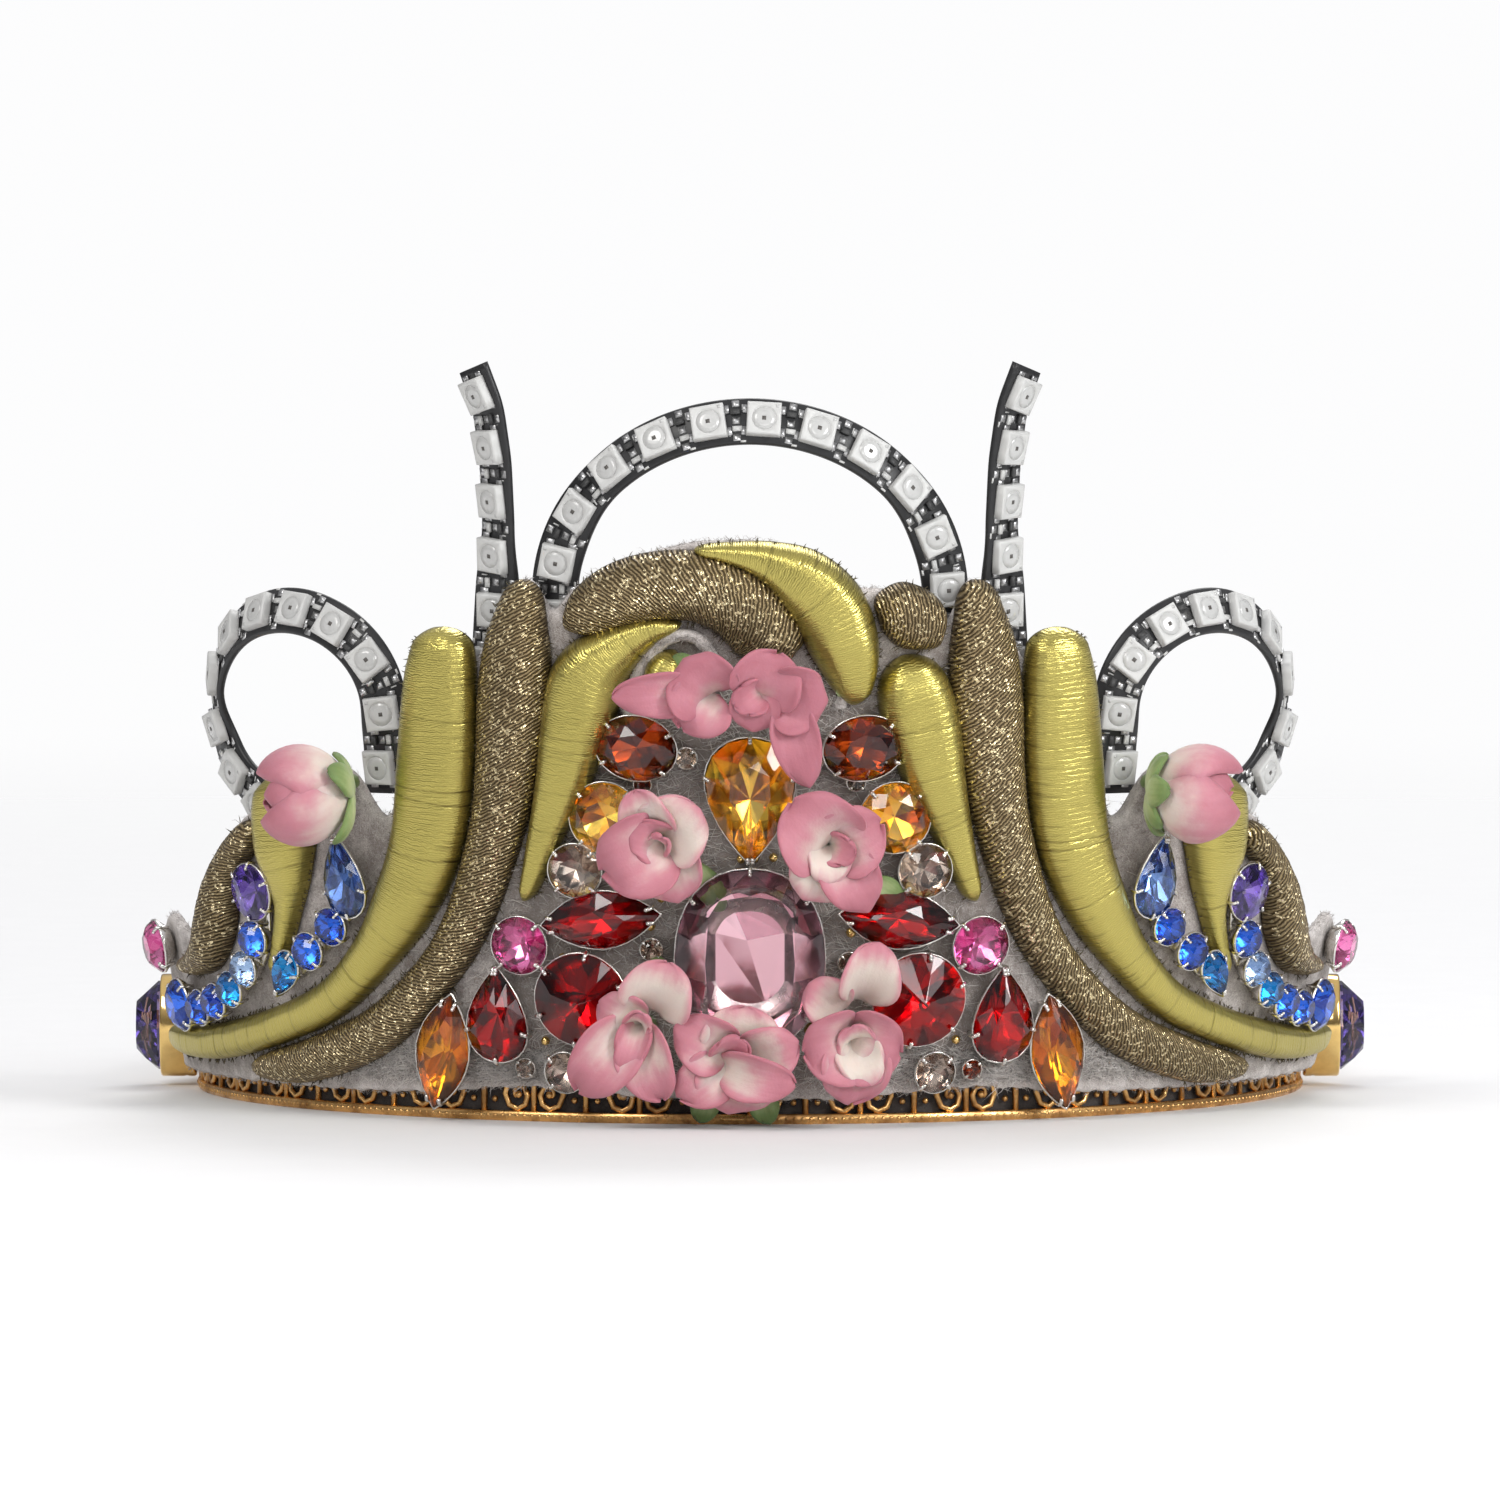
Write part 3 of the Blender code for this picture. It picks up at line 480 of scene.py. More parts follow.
grey_felt = felt_material("grey_felt", (0.78, 0.73, 0.70), (0.25, 0.215, 0.195))
black_felt = felt_material("black_felt", (0.09, 0.08, 0.075), (0.035, 0.031, 0.03))
sewing_thread = thread_material("sewing_thread", 3000, (0.10, 0.09, 0.08), (0.34, 0.31, 0.28), Roughness=0.7)

wool = np.random.default_rng(11)
lining = Shape()
lining_turns = np.linspace(-LINING_END_TURN, LINING_END_TURN, 260)
lining_outer = -BAND_WALL / 2 - GAP
lining_split = lining_outer - LINING_WALL * LINING_DARK_SHARE
for slot, inner, outer, inset in ((1, lining_split + LAYER_GAP, lining_outer, 0.0003),
                                  (0, lining_outer - LINING_WALL, lining_split - LAYER_GAP, 0.0)):
    low = LINING_EDGE + inset + 0.00018 * np.sin(lining_turns * 1.9 + slot) * np.sin(lining_turns * 0.73)
    high = band_height(lining_turns) - LINING_EDGE - inset + 0.0002 * np.sin(lining_turns * 1.3 + 2)
    lining.loft(np.stack([band_places(lining_turns, inner + (outer - inner) * across,
                                      low + (high - low) * rise)
                          for across, rise in LINING_PROFILE], 1), slot=slot)
hair_turns = wool.uniform(-LINING_END_TURN, LINING_END_TURN, LINING_HAIRS)
upper = wool.random(LINING_HAIRS) < 0.5
hair_foot = np.where(upper, band_height(hair_turns) - LINING_EDGE - 0.0002, LINING_EDGE + 0.0002)
roots = band_places(hair_turns, lining_outer - LINING_WALL * wool.uniform(0.35, 1.0, LINING_HAIRS), hair_foot)
offsets = wool.normal(0, 0.00035, (LINING_HAIRS, 3))
offsets[:, 2] = np.where(upper, 1, -1) * wool.uniform(0.0002, 0.0006, LINING_HAIRS)
add_hairs(lining, roots, offsets, wool.normal(0, 0.0002, (LINING_HAIRS, 3)), 0.00004)
for turn in np.arange(-LINING_END_TURN + 2, LINING_END_TURN - 3, math.degrees(STITCH_PITCH / BAND_RADIUS)):
    turns = turn + np.linspace(0, math.degrees(STITCH_LENGTH / BAND_RADIUS), 5)
    for height in (LINING_EDGE + STITCH_EDGE, band_height(turn) - LINING_EDGE - STITCH_EDGE):
        lining.tube(band_places(turns, lining_outer - LINING_WALL - STITCH_BOW, height), STITCH_RADIUS, 6,
                    slot=2)
lining_piece = lining.build("lining_felt", [grey_felt, black_felt, sewing_thread], "felt")
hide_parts("lining")

# Backing
# One sheet of thick grey felt, cut to the outline of the leaves and glued outside the band, that
# leans outward as it rises. All the rest is sewn to it. Its cut edges are fuzzy.
MM = 0.001
BACKING_WALL = 0.002
BACKING_FOOT = 0.004
FOOT_RISE = 0.0016
TOP_TRIM = 0.0006
EDGE_ROUND = 0.0009
FELT_WAVE = 0.00007
EDGE_HAIRS = 2800
# The height at which the sheet's flat width is taken.
CREST_FLARE = math.radians(11)
CREST_START = BAND_WALL / 2 + GAP - BACKING_FOOT * math.sin(CREST_FLARE)
SEAT = BACKING_WALL + GAP
# Turn and height of the upper edge in millimetres, over the middle and then down either side.
LEFT_TOP = ((16.8, 77.0), (15.2, 81.5), (12, 85.2), (8, 87.7), (4.5, 89.2), (0, 89.5))
RIGHT_TOP = ((3, 88.6), (6, 86.6), (8.8, 82), (10.4, 82.3), (13.2, 81.2), (15.5, 78.4), (16.9, 74.5))
SIDE_TOP = (
    (17.4, 81.5), (18.3, 84.5), (19.8, 82), (22.6, 75.5), (23.9, 68.5), (24.6, 73.6), (26, 76),
    (28, 74.2), (30.4, 66), (32, 56), (33.6, 46.5), (35.8, 48), (36.4, 51.5), (38.3, 55), (40.2, 52.5),
    (41, 49.5), (42.6, 53), (45.5, 54.8), (48, 53), (49.6, 46.8), (50.8, 47.5), (53, 46),
    (56, 41.5), (60, 37.5), (63.5, 32), (67, 27), (70.4, 27.5), (74, 29.8), (77.2, 27.5),
    (78.5, 19), (80.5, 15), (82.5, 13),
)


def crest_radius(height):
    return BAND_RADIUS + CREST_START + height * math.sin(CREST_FLARE) + BACKING_WALL


def along_crest(turn, height):
    return np.radians(turn) * crest_radius(height)


def crest_places(x, height, proud):
    """Places on the flared crest, for arrays in metres of place along it, height and proud."""
    x, height, proud = np.broadcast_arrays(np.asarray(x, float), height, proud)
    angle = x / crest_radius(height)
    reach = BAND_RADIUS + CREST_START + height * math.sin(CREST_FLARE) + proud * math.cos(CREST_FLARE)
    level = height * math.cos(CREST_FLARE) - proud * math.sin(CREST_FLARE)
    return np.stack((np.sin(angle) * reach, BAND_RADIUS - np.cos(angle) * reach, level), -1)


def add_fuzz(shape, x, height, proud, away, length, radius=0.000045):
    """Loose felt hairs that stand away from places on the crest, all given as arrays."""
    roots = crest_places(x, height, proud)
    tips = crest_places(x + away[0] * length, height + away[1] * length, proud + away[2] * length)
    add_hairs(shape, roots, tips - roots, wool.normal(0, 0.00035, (len(x), 3)), radius)


top_edge = np.array([(-turn, rise) for turn, rise in SIDE_TOP[::-1] + LEFT_TOP] + list(RIGHT_TOP + SIDE_TOP))
backing_turns = np.linspace(top_edge[0, 0], top_edge[-1, 0], 420)
cut_round = np.hanning(9) / np.hanning(9).sum()
backing_top = np.interp(backing_turns, top_edge[:, 0], top_edge[:, 1] * MM) - TOP_TRIM
backing_top = np.convolve(np.pad(backing_top, 4, mode="edge"), cut_round, "valid")
backing_low = BACKING_FOOT + FOOT_RISE * np.exp(-((np.abs(backing_turns) - 22) / 9) ** 2) \
    + 0.00025 * np.sin(backing_turns * 2.3) * np.sin(backing_turns * 0.9 + 1)
backing = Shape()
rings, matting_and_shade = [], []
for turn, low, high in zip(backing_turns, backing_low, backing_top):
    heights = np.concatenate((low + np.array((0, 0.0002, 0.0005)), np.linspace(low + 0.001, high - 0.001, 34),
                              high - np.array((0.0005, 0.0002, 0))))
    edge = np.minimum(heights - low, high - heights)
    bulge = np.sqrt(1 - (1 - np.minimum(edge / EDGE_ROUND, 1)) ** 2)
    waves = np.sin(heights * 2100 + turn * 3.1) * np.sin(turn * 5.3 - heights * 900)
    half_wall = BACKING_WALL / 2 + FELT_WAVE * waves
    front, back = (crest_places(along_crest(turn, heights), heights,
                                BACKING_WALL / 2 + side * half_wall * bulge)
                   for side in (1, -1))
    rings.append(np.concatenate((front, back[-2:0:-1])))
    # Painted shade, partly matted felt: the front is darker away from its edges, and darker still among the
    # stones.
    shade_among_stones = 1 / (1 + math.exp((abs(turn) - 23) / 1.2)) / (1 + np.exp((heights - 0.069) / 0.0015))
    near_edge = np.minimum(edge / 0.0025, 1)
    matting_and_shade.append(np.concatenate(((0.6 + 0.4 * shade_among_stones) * near_edge, np.zeros(len(heights) - 2))))
backing.loft(rings, matting_and_shade)
hair_turns = wool.uniform(backing_turns[0], backing_turns[-1], EDGE_HAIRS)
upper = wool.random(EDGE_HAIRS) < 0.62
hair_foot = np.where(upper, np.interp(hair_turns, backing_turns, backing_top),
                     np.interp(hair_turns, backing_turns, backing_low))
add_fuzz(backing, along_crest(hair_turns, hair_foot), hair_foot, wool.uniform(0.0003, 0.0018, EDGE_HAIRS), (
    wool.normal(0, 0.8, EDGE_HAIRS), np.where(upper, 1, -0.6) * wool.uniform(0.1, 1.0, EDGE_HAIRS),
    wool.normal(0.15, 0.4, EDGE_HAIRS)), wool.uniform(0.0003, 0.0010, EDGE_HAIRS))
backing_piece = backing.build("backing_felt", [grey_felt], "felt")
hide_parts("backing")
rises = backing_top - backing_low

# Felt piping
# Two rolled strips of the same felt, sewn flat beside the inner leaves as a raised line.
PIPING_RADIUS = 0.00095
PIPING_HAIRS = 500
# Points along each strip. Columns: place along the crest and height, in millimetres.
PIPING = (
    ("piping_left", ((-17.6, 62.5), (-17.2, 66.2), (-15.4, 70.8), (-11.6, 74.6), (-7.6, 74.4), (-4.6, 70.6))),
    ("piping_right", ((14.6, 81.0), (15.6, 77.6), (15.6, 73.0), (14.4, 68.2), (13.0, 64.0))),
)


def smooth_rows(rows, step):
    """A smooth line through rows whose first two columns are a place, with a row every step along it."""
    rows = np.asarray(rows, float)
    ends = np.concatenate((2 * rows[:1] - rows[1:2], rows, 2 * rows[-1:] - rows[-2:-1]))
    share = np.linspace(0, 1, 24, endpoint=False)[:, None]
    line = np.concatenate([
        0.5 * (2 * b + (c - a) * share + (2 * a - 5 * b + 4 * c - d) * share ** 2
               + (3 * b - a - 3 * c + d) * share ** 3)
        for a, b, c, d in zip(ends, ends[1:], ends[2:], ends[3:])] + [rows[-1:]])
    length = np.concatenate(([0], np.cumsum(np.hypot(*np.diff(line[:, :2], axis=0).T))))
    places = np.linspace(0, length[-1], max(3, int(length[-1] / step) + 1))
    return places, np.stack([np.interp(places, length, column) for column in line.T], 1)


for name, rows in PIPING:
    piping = Shape()
    x, height = smooth_rows(np.array(rows) * MM, 0.0008)[1].T
    lump = PIPING_RADIUS * (1 + 0.12 * np.sin(np.arange(len(x)) * 1.7) * np.sin(np.arange(len(x)) * 0.6))
    piping.tube(crest_places(x, height, SEAT + PIPING_RADIUS * 0.9), lump, 10)
    picks = wool.integers(0, len(x), PIPING_HAIRS)
    round_it = wool.uniform(0, np.pi, PIPING_HAIRS)
    add_fuzz(piping, x[picks] + PIPING_RADIUS * np.cos(round_it), height[picks],
             SEAT + PIPING_RADIUS * (0.9 + np.sin(round_it)),
             (np.cos(round_it), wool.normal(0, 0.7, PIPING_HAIRS), np.sin(round_it)),
             wool.uniform(0.0003, 0.001, PIPING_HAIRS))
    piping_piece = piping.build(name, [grey_felt], "felt")

# Padded leaves
# Cords of padding sewn down on the felt and wound across. The gold ones are wrapped in flat foil
# that splits into strips, with dark thread in the splits; the bronze ones in glittering twisted thread.
# Painted shade darkens both kinds toward their edges and in the grooves of their winding.
LEAF_SEAT = SEAT + 0.00005
LEAF_LIFT = 0.0044
SPLIT_DEPTH = 0.00012
GOLD_STEP, GOLD_COLUMNS = 0.0002, 27
BRONZE_STEP, BRONZE_COLUMNS = 0.00026, 25
# How much higher the leaves that lie over their neighbours are padded.
LEAF_OVER = {"gold_crescent_top": 0.0009, "gold_inner_left": 0.0009, "gold_inner_right": 0.0005}
# Turn, share of the tip's height and share of the greatest breadth, from the tip down.
COLUMN_ROWS = (
    (18.3, 1.0, 0.5), (18.9, 0.955, 0.62), (19.6, 0.88, 0.88), (20.2, 0.78, 1.0), (21.2, 0.66, 0.88),
    (22.8, 0.54, 0.75), (26.4, 0.375, 0.66), (31.1, 0.262, 0.62), (38.0, 0.163, 0.66),
    (46.5, 0.107, 0.6), (53.0, 0.088, 0.42), (57.0, 0.085, 0.18),
)
OUTER_ROWS = (
    (26.0, 1.0, 0.62), (26.3, 0.955, 0.8), (26.9, 0.88, 0.93), (27.9, 0.74, 1.0), (29.5, 0.58, 0.96),
    (32.6, 0.45, 0.84), (37.0, 0.338, 0.62), (42.7, 0.245, 0.52), (50.0, 0.188, 0.47),
    (58.5, 0.148, 0.46), (66.0, 0.13, 0.43), (74.0, 0.13, 0.4), (78.5, 0.133, 0.16),
)
SMALL_ROWS = (
    (45.5, 1.0, 0.6), (45.4, 0.95, 0.84), (45.6, 0.875, 1.0), (46.0, 0.78, 0.95), (46.2, 0.69, 0.66),
    (47.0, 0.6, 0.4), (48.7, 0.495, 0.28), (50.7, 0.41, 0.18),
)
EDGE_ROWS = (
    (49.9, 0.985, 0.4), (51.5, 0.95, 0.55), (54.3, 0.875, 0.62), (56.9, 0.765, 0.8), (58.8, 0.655, 0.95),
    (61.2, 0.56, 0.8), (64.8, 0.505, 0.52), (68.2, 0.485, 0.3), (70.0, 0.48, 0.14),
)
# Name, tip height and greatest breadth in millimetres, rows.
GOLD_LEAVES = [
    ("gold_crescent_top", 87.6, 11.2, (
        (-4.5, 1.0, 0.14), (-1.5, 0.995, 0.3), (1.5, 0.98, 0.56), (4.2, 0.95, 0.86),
        (6.4, 0.9, 1.0), (7.8, 0.835, 0.92), (8.5, 0.775, 0.62), (8.6, 0.735, 0.26))),
    ("gold_inner_left", 76.6, 11.6, (
        (-5.6, 1.0, 0.14), (-8.3, 0.985, 0.4), (-11.2, 0.945, 0.72), (-13.5, 0.89, 1.0),
        (-14.9, 0.79, 0.9), (-16.2, 0.69, 0.72), (-18.2, 0.575, 0.46), (-19.9, 0.48, 0.26),
        (-20.6, 0.45, 0.12))),
    ("gold_inner_right", 71.8, 11.6, (
        (12.8, 1.0, 0.5), (13.6, 0.94, 0.92), (14.7, 0.85, 1.0), (16.1, 0.735, 0.8),
        (18.2, 0.61, 0.5), (19.9, 0.51, 0.3), (20.6, 0.48, 0.14))),
    ("gold_tiny_left", 72.6, 5.8, (
        (-6.2, 1.0, 0.4), (-6.9, 0.965, 1.0), (-7.4, 0.925, 0.9), (-7.8, 0.9, 0.4))),
]
BRONZE_LEAVES = [
    ("bronze_scroll_top", 82.2, 11.6, (
        (-15.4, 0.925, 0.4), (-13.2, 0.953, 0.7), (-10.5, 0.983, 0.86), (-7.3, 1.0, 0.9),
        (-4.0, 0.998, 0.92), (-1.0, 0.97, 0.96), (1.2, 0.92, 0.98), (1.9, 0.875, 0.92), (1.9, 0.86, 0.6))),
    ("bronze_small_right", 80.3, 9.4, (
        (10.2, 1.0, 0.5), (12.0, 0.983, 0.9), (14.0, 0.952, 1.0), (15.7, 0.912, 0.5))),
]
SIDES = (("left", -1), ("right", 1))
for side, sign in SIDES:
    for leaves, kind, tip, breadth, rows in (
            (BRONZE_LEAVES, "bronze_column", 83.0, 11.7, COLUMN_ROWS),
            (GOLD_LEAVES, "gold_outer", 75.8, 12.8, OUTER_ROWS),
            (GOLD_LEAVES, "gold_small", 53.2, 12.2, SMALL_ROWS),
            (BRONZE_LEAVES, "bronze_edge", 45.0, 9.6, EDGE_ROWS)):
        leaves.append((f"{kind}_{side}", tip, breadth, [(sign * turn, *rest) for turn, *rest in rows]))


def leaf_grid(tip, breadth, rows, step, columns, flatness, blunt, over=0.0):
    """A leaf's top on the unrolled crest: places, height of the dome, length, breadth and share across."""
    turns, rises, spreads = np.array(rows).T
    heights = rises * tip * MM
    length, line = smooth_rows(np.stack((
        along_crest(turns, heights), heights, spreads * breadth / 2 * MM,
        LEAF_LIFT * np.minimum(1.0, 0.3 + 0.8 * spreads)), 1), step)
    ahead = np.gradient(line[:, :2], axis=0)
    ahead /= np.linalg.norm(ahead, axis=1)[:, None]
    near_end = np.minimum(length, length[-1] - length)
    rounding = np.sqrt(1 - (1 - np.minimum(near_end / (blunt * line[2:-2, 2].mean()), 1)) ** 2)
    across = np.sin(np.linspace(-1, 1, columns) * np.pi / 2)[None, :]
    aside = (line[:, 2] * (0.08 + 0.92 * rounding))[:, None] * across
    surface = line[:, None, :2] + np.stack((-ahead[:, 1:] * aside, ahead[:, :1] * aside), -1)
    dome = (line[:, 3] * (0.15 + 0.85 * rounding))[:, None] * (1 - np.abs(across) ** flatness) ** 0.56
    return surface, dome * (1 + over / LEAF_LIFT), length[:, None], aside, across


def wound_leaf(surface, dome, length, aside, relief, dark):
    """A padded leaf: winding relief on top, a flat underside, and a tone of split thread and painted edge
    shade.
    """
    proud = LEAF_SEAT + np.maximum(dome + relief * np.minimum(1, dome / 0.0006), 0)
    columns = np.stack((*np.moveaxis(surface, -1, 0), proud, np.broadcast_to(dark, dome.shape),
                        np.broadcast_to(length, dome.shape) / MM, aside / MM), -1)
    under = columns[:, [int(dome.shape[1] * share) for share in (0.9, 0.65, 0.35, 0.1)]]
    under[..., 2:4] = LEAF_SEAT, 1
    columns = np.concatenate((columns, under), 1)
    leaf = Shape()
    leaf.loft(crest_places(*np.moveaxis(columns[..., :3], -1, 0)), columns[..., 3], weave=columns[..., 4:])
    return leaf


def finish_leaf(leaf, roots, tips, radius, name, winding, material, slot):
    """The leaf with thread ends at its edge, from roots to tips."""
    add_hairs(leaf, roots, tips - roots, wool.normal(0, 0.0001, (len(roots), 3)), radius, slot=1)
    leaf_piece = leaf.build(f"{name}_{winding}", [material, dark_thread], slot)
    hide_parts(name)


def wound_thread(n, given):
    """Thread wound across a leaf: ridges, uneven colour, painted shade in the grooves, glints on single
    strands.
    """
    weave = n.add("UVMap", uv_map="weave")
    place = n.add("SeparateXYZ", {0: weave}, None)
    slanted = n.math("MULTIPLY_ADD", place["Y"], given["Slant"], place["X"])
    shaken = n.math("MULTIPLY_ADD", n.noise(weave, 0.9, 3), 0.9, slanted)
    angle = n.math("MULTIPLY", n.math("DIVIDE", shaken, given["Pitch"]), 2 * math.pi)
    strand = n.spread(n.math("SINE", angle), -1, 1)
    specks = n.add("TexVoronoi", {"Vector": weave, "Scale": 3.3, "Randomness": 1.0}, "Color")
    glint = n.math("GREATER_THAN", n.add("SeparateColor", {0: specks}),
                   n.math("SUBTRACT", 1.0, given["Glints"]))
    uneven = n.math("MULTIPLY", n.noise(weave, 5), strand)
    # Painted shade: the colour darkens into the grooves between the wound strands.
    depth = n.add("Mix", {0: given["Depth"], 2: 1.0, 3: n.spread(uneven, 0.04, 0.5)}, data_type="FLOAT")
    colour = n.mix(depth, given["Dark"], given["Light"])
    return {"Colour": n.mix(glint, colour, given["Glint"]), "Height": n.math("ADD", strand, uneven),
            "Glint Mask": glint}


WOUND_THREAD = new_group(wound_thread, ("Light", "Dark", "Glint"), ("Pitch", "Slant", "Glints", "Depth"))


# The tone mixes in the split colour: dark thread in the foil's splits, and painted shade at leaf edges.
def wound_material(name, metallic, split, roughness, glint_roughness, bump, **winding):
    def look(n):
        wound = n.group(WOUND_THREAD, **winding)
        return {"Metallic": metallic, "Base Color": n.mix(n.tone(), wound["Colour"], split),
                "Roughness": n.spread(wound["Glint Mask"], 0, 1, roughness, glint_roughness),
                "Normal": n.bump(wound["Height"], bump, 0.00015)}
    return new_material(name, look)


def foil_relief(length, aside, across):
    """Height and darkness of the splits between foil strips, and the place and side of each at the edge."""
    relief = 0.000022 * np.sin(2 * np.pi * length / 0.00083 + 2 * across)
    dark, splits, place = np.zeros_like(relief), [], 0.0008
    while place < length[-1, 0] - 0.0008:
        side, slant = strips.choice((-1, 1)), strips.uniform(-0.12, 0.12)
        whole = strips.random() < 0.1
        reach = 2.0 if whole else strips.uniform(0.12, 0.6)
        depth = strips.uniform(0.5, 1.0) * (1.0 if whole else 0.7)
        width = strips.uniform(0.00009, 0.00014)
        split = depth * np.exp(-((length - place - slant * aside) / width) ** 2)
        split *= np.clip((reach - 1 + side * across) / 0.2 + 0.5, 0, 1)
        relief -= SPLIT_DEPTH * split
        dark += 0.9 * split * (0.45 + 0.55 * np.abs(across))
        splits.append((place, side))
        place += strips.uniform(0.0003, 0.0012)
    relief += 0.00007 * np.sin(length * 480 + 2.2 * across) * np.sin(length * 171 + 1) * (1 - across ** 4)
    return relief, np.clip(dark, 0, 1), splits


gold_foil = wound_material(
    "gold_foil", 0.9, (0.06, 0.045, 0.015), 0.28, 0.26, 0.25, Pitch=0.34, Slant=0.04, Glints=0.0,
    Depth=0.6, Light=(0.56, 0.48, 0.138), Dark=(0.41, 0.34, 0.084), Glint=(0.66, 0.58, 0.22))
bronze_thread = wound_material(
    "bronze_thread", 0.8, (0.05, 0.035, 0.02), 0.42, 0.2, 0.8, Pitch=0.62, Slant=0.75, Glints=0.14,
    Depth=0.95, Light=(0.37, 0.28, 0.15), Dark=(0.05, 0.034, 0.016), Glint=(0.80, 0.67, 0.41))
dark_thread = thread_material("dark_thread", 4000, (0.03, 0.025, 0.012), (0.16, 0.13, 0.06), Roughness=0.6,
                              Metallic=0.3)
strips = random.Random(5)
for name, tip, breadth, rows in GOLD_LEAVES:
    surface, dome, length, aside, across = leaf_grid(
        tip, breadth, rows, GOLD_STEP, GOLD_COLUMNS, 3.4, 0.6, LEAF_OVER.get(name, 0))
    relief, dark, splits = foil_relief(length, aside, across)
    # Painted shade: the foil darkens toward both edges of the leaf.
    leaf = wound_leaf(surface, dome, length, aside, relief, np.maximum(dark, 0.45 * np.abs(across) ** 18))
    roots, tips = [], []
    for place, side in splits:
        row = int(np.argmin(np.abs(length[:, 0] - place)))
        for end in ((side,) if strips.random() < 0.7 else (-1, 1)):
            edge = surface[row, 1 if end < 0 else -2]
            away = edge - surface[row, GOLD_COLUMNS // 2]
            away /= np.linalg.norm(away) + 1e-9
            for _ in range(2):
                spread = strips.uniform(-0.0003, 0.0003), strips.uniform(-0.0003, 0.0003)
                hair_tip = edge + away * strips.uniform(0.0003, 0.0008) + spread
                roots.append(crest_places(*edge, LEAF_SEAT + 0.0007))
                tips.append(crest_places(*hair_tip, LEAF_SEAT + strips.uniform(0.0002, 0.0012)))
    finish_leaf(leaf, np.array(roots), np.array(tips), 0.00011, name, "foil", gold_foil, "gold_thread")

for name, tip, breadth, rows in BRONZE_LEAVES:
    surface, dome, length, aside, across = leaf_grid(
        tip, breadth, rows, BRONZE_STEP, BRONZE_COLUMNS, 2.3, 0.85)
    ridge = np.sin(2 * np.pi * (length + 0.75 * aside) / 0.0009 + 1.5 * np.sin(length * 700))
    cross = np.sin(2 * np.pi * (length - 0.7 * aside) / 0.0037)
    relief = 0.00002 * ridge + 0.00004 * cross + wool.normal(0, 0.00003, dome.shape)
    # Painted shade: the thread darkens toward both edges of the leaf.
    leaf = wound_leaf(surface, dome, length, aside, relief, 0.6 * np.abs(across) ** 16)
    count = int(length[-1, 0] / 0.0005)
    picks = wool.integers(2, len(surface) - 2, count)
    edge = surface[picks, wool.choice((1, -2), count)]
    away = edge - surface[picks, BRONZE_COLUMNS // 2]
    away /= np.linalg.norm(away, axis=1)[:, None] + 1e-9
    reach = wool.uniform(0.0002, 0.001, (count, 1))
    roots = crest_places(*edge.T, LEAF_SEAT + wool.uniform(0.0002, 0.001, count))
    tips = edge + away * reach + wool.normal(0, 0.0003, (count, 2))
    tips = crest_places(*tips.T, LEAF_SEAT + wool.uniform(0.0001, 0.0014, count))
    finish_leaf(leaf, roots, tips, 0.00009, name, "thread", bronze_thread, "bronze_thread")

# Cut stones
# Pressed glass stones with a foiled back, each in a silver cup whose prongs are bent over its edge.
# The cup is sewn to the felt. A facet of foil behind the glass shows its own shade.
GIRDLE = 0.0004
CUP_WALL = 0.00022
PRONG = 0.00034
CULET = 0.25 * MM
PINK_CUP, BIG_CUP, CUP, SMALL_CUP = 3.6, 2.9, 2.5, 2.1
# Cut: number of main facets, table share, share of the ring between, angles of the prongs in degrees.
CUTS = {
    "round": (8, 0.56, 0.80, (45, 135, 225, 315)),
    "oval": (8, 0.54, 0.80, (38, 142, 218, 322)),
    "cushion": (12, 0.62, 0.83, (40, 90, 140, 220, 270, 320)),
    "rivoli": (12, 0.06, 0.62, (20, 80, 140, 200, 260, 320)),
    "pear": (8, 0.5, 0.76, (16, 112, 180, 248, 344)),
    "navette": (8, 0.46, 0.74, (30, 150, 210, 330)),
}
# Colour: glass, light foil, dark foil.
STONE_COLOURS = {
    "pink": ((0.98, 0.78, 0.83), (1.0, 0.75, 0.81), (0.40, 0.12, 0.18)),
    "amber": ((1.0, 0.87, 0.40), (1.0, 0.84, 0.24), (0.88, 0.32, 0.01)),
    "honey": ((0.98, 0.66, 0.16), (1.0, 0.60, 0.08), (0.50, 0.15, 0.01)),
    "smoke": ((0.82, 0.34, 0.12), (0.74, 0.22, 0.04), (0.10, 0.014, 0.005)),
    "clear": ((0.98, 0.94, 0.90), (0.98, 0.88, 0.78), (0.18, 0.11, 0.08)),
    "red": ((0.84, 0.035, 0.06), (0.86, 0.02, 0.035), (0.15, 0.003, 0.008)),
    "fuchsia": ((0.98, 0.54, 0.78), (1.0, 0.46, 0.74), (0.50, 0.05, 0.22)),
    "blue": ((0.22, 0.46, 0.95), (0.10, 0.35, 0.95), (0.01, 0.05, 0.30)),
    "pale_blue": ((0.70, 0.82, 0.98), (0.62, 0.78, 0.98), (0.10, 0.18, 0.40)),
    "sky_blue": ((0.55, 0.70, 0.95), (0.46, 0.62, 0.92), (0.08, 0.15, 0.36)),
    "turquoise": ((0.18, 0.66, 0.95), (0.06, 0.58, 0.95), (0.01, 0.12, 0.36)),
    "violet": ((0.62, 0.50, 0.92), (0.56, 0.42, 0.90), (0.08, 0.04, 0.20)),
    "purple": ((0.34, 0.26, 0.62), (0.26, 0.18, 0.52), (0.02, 0.012, 0.06)),
}
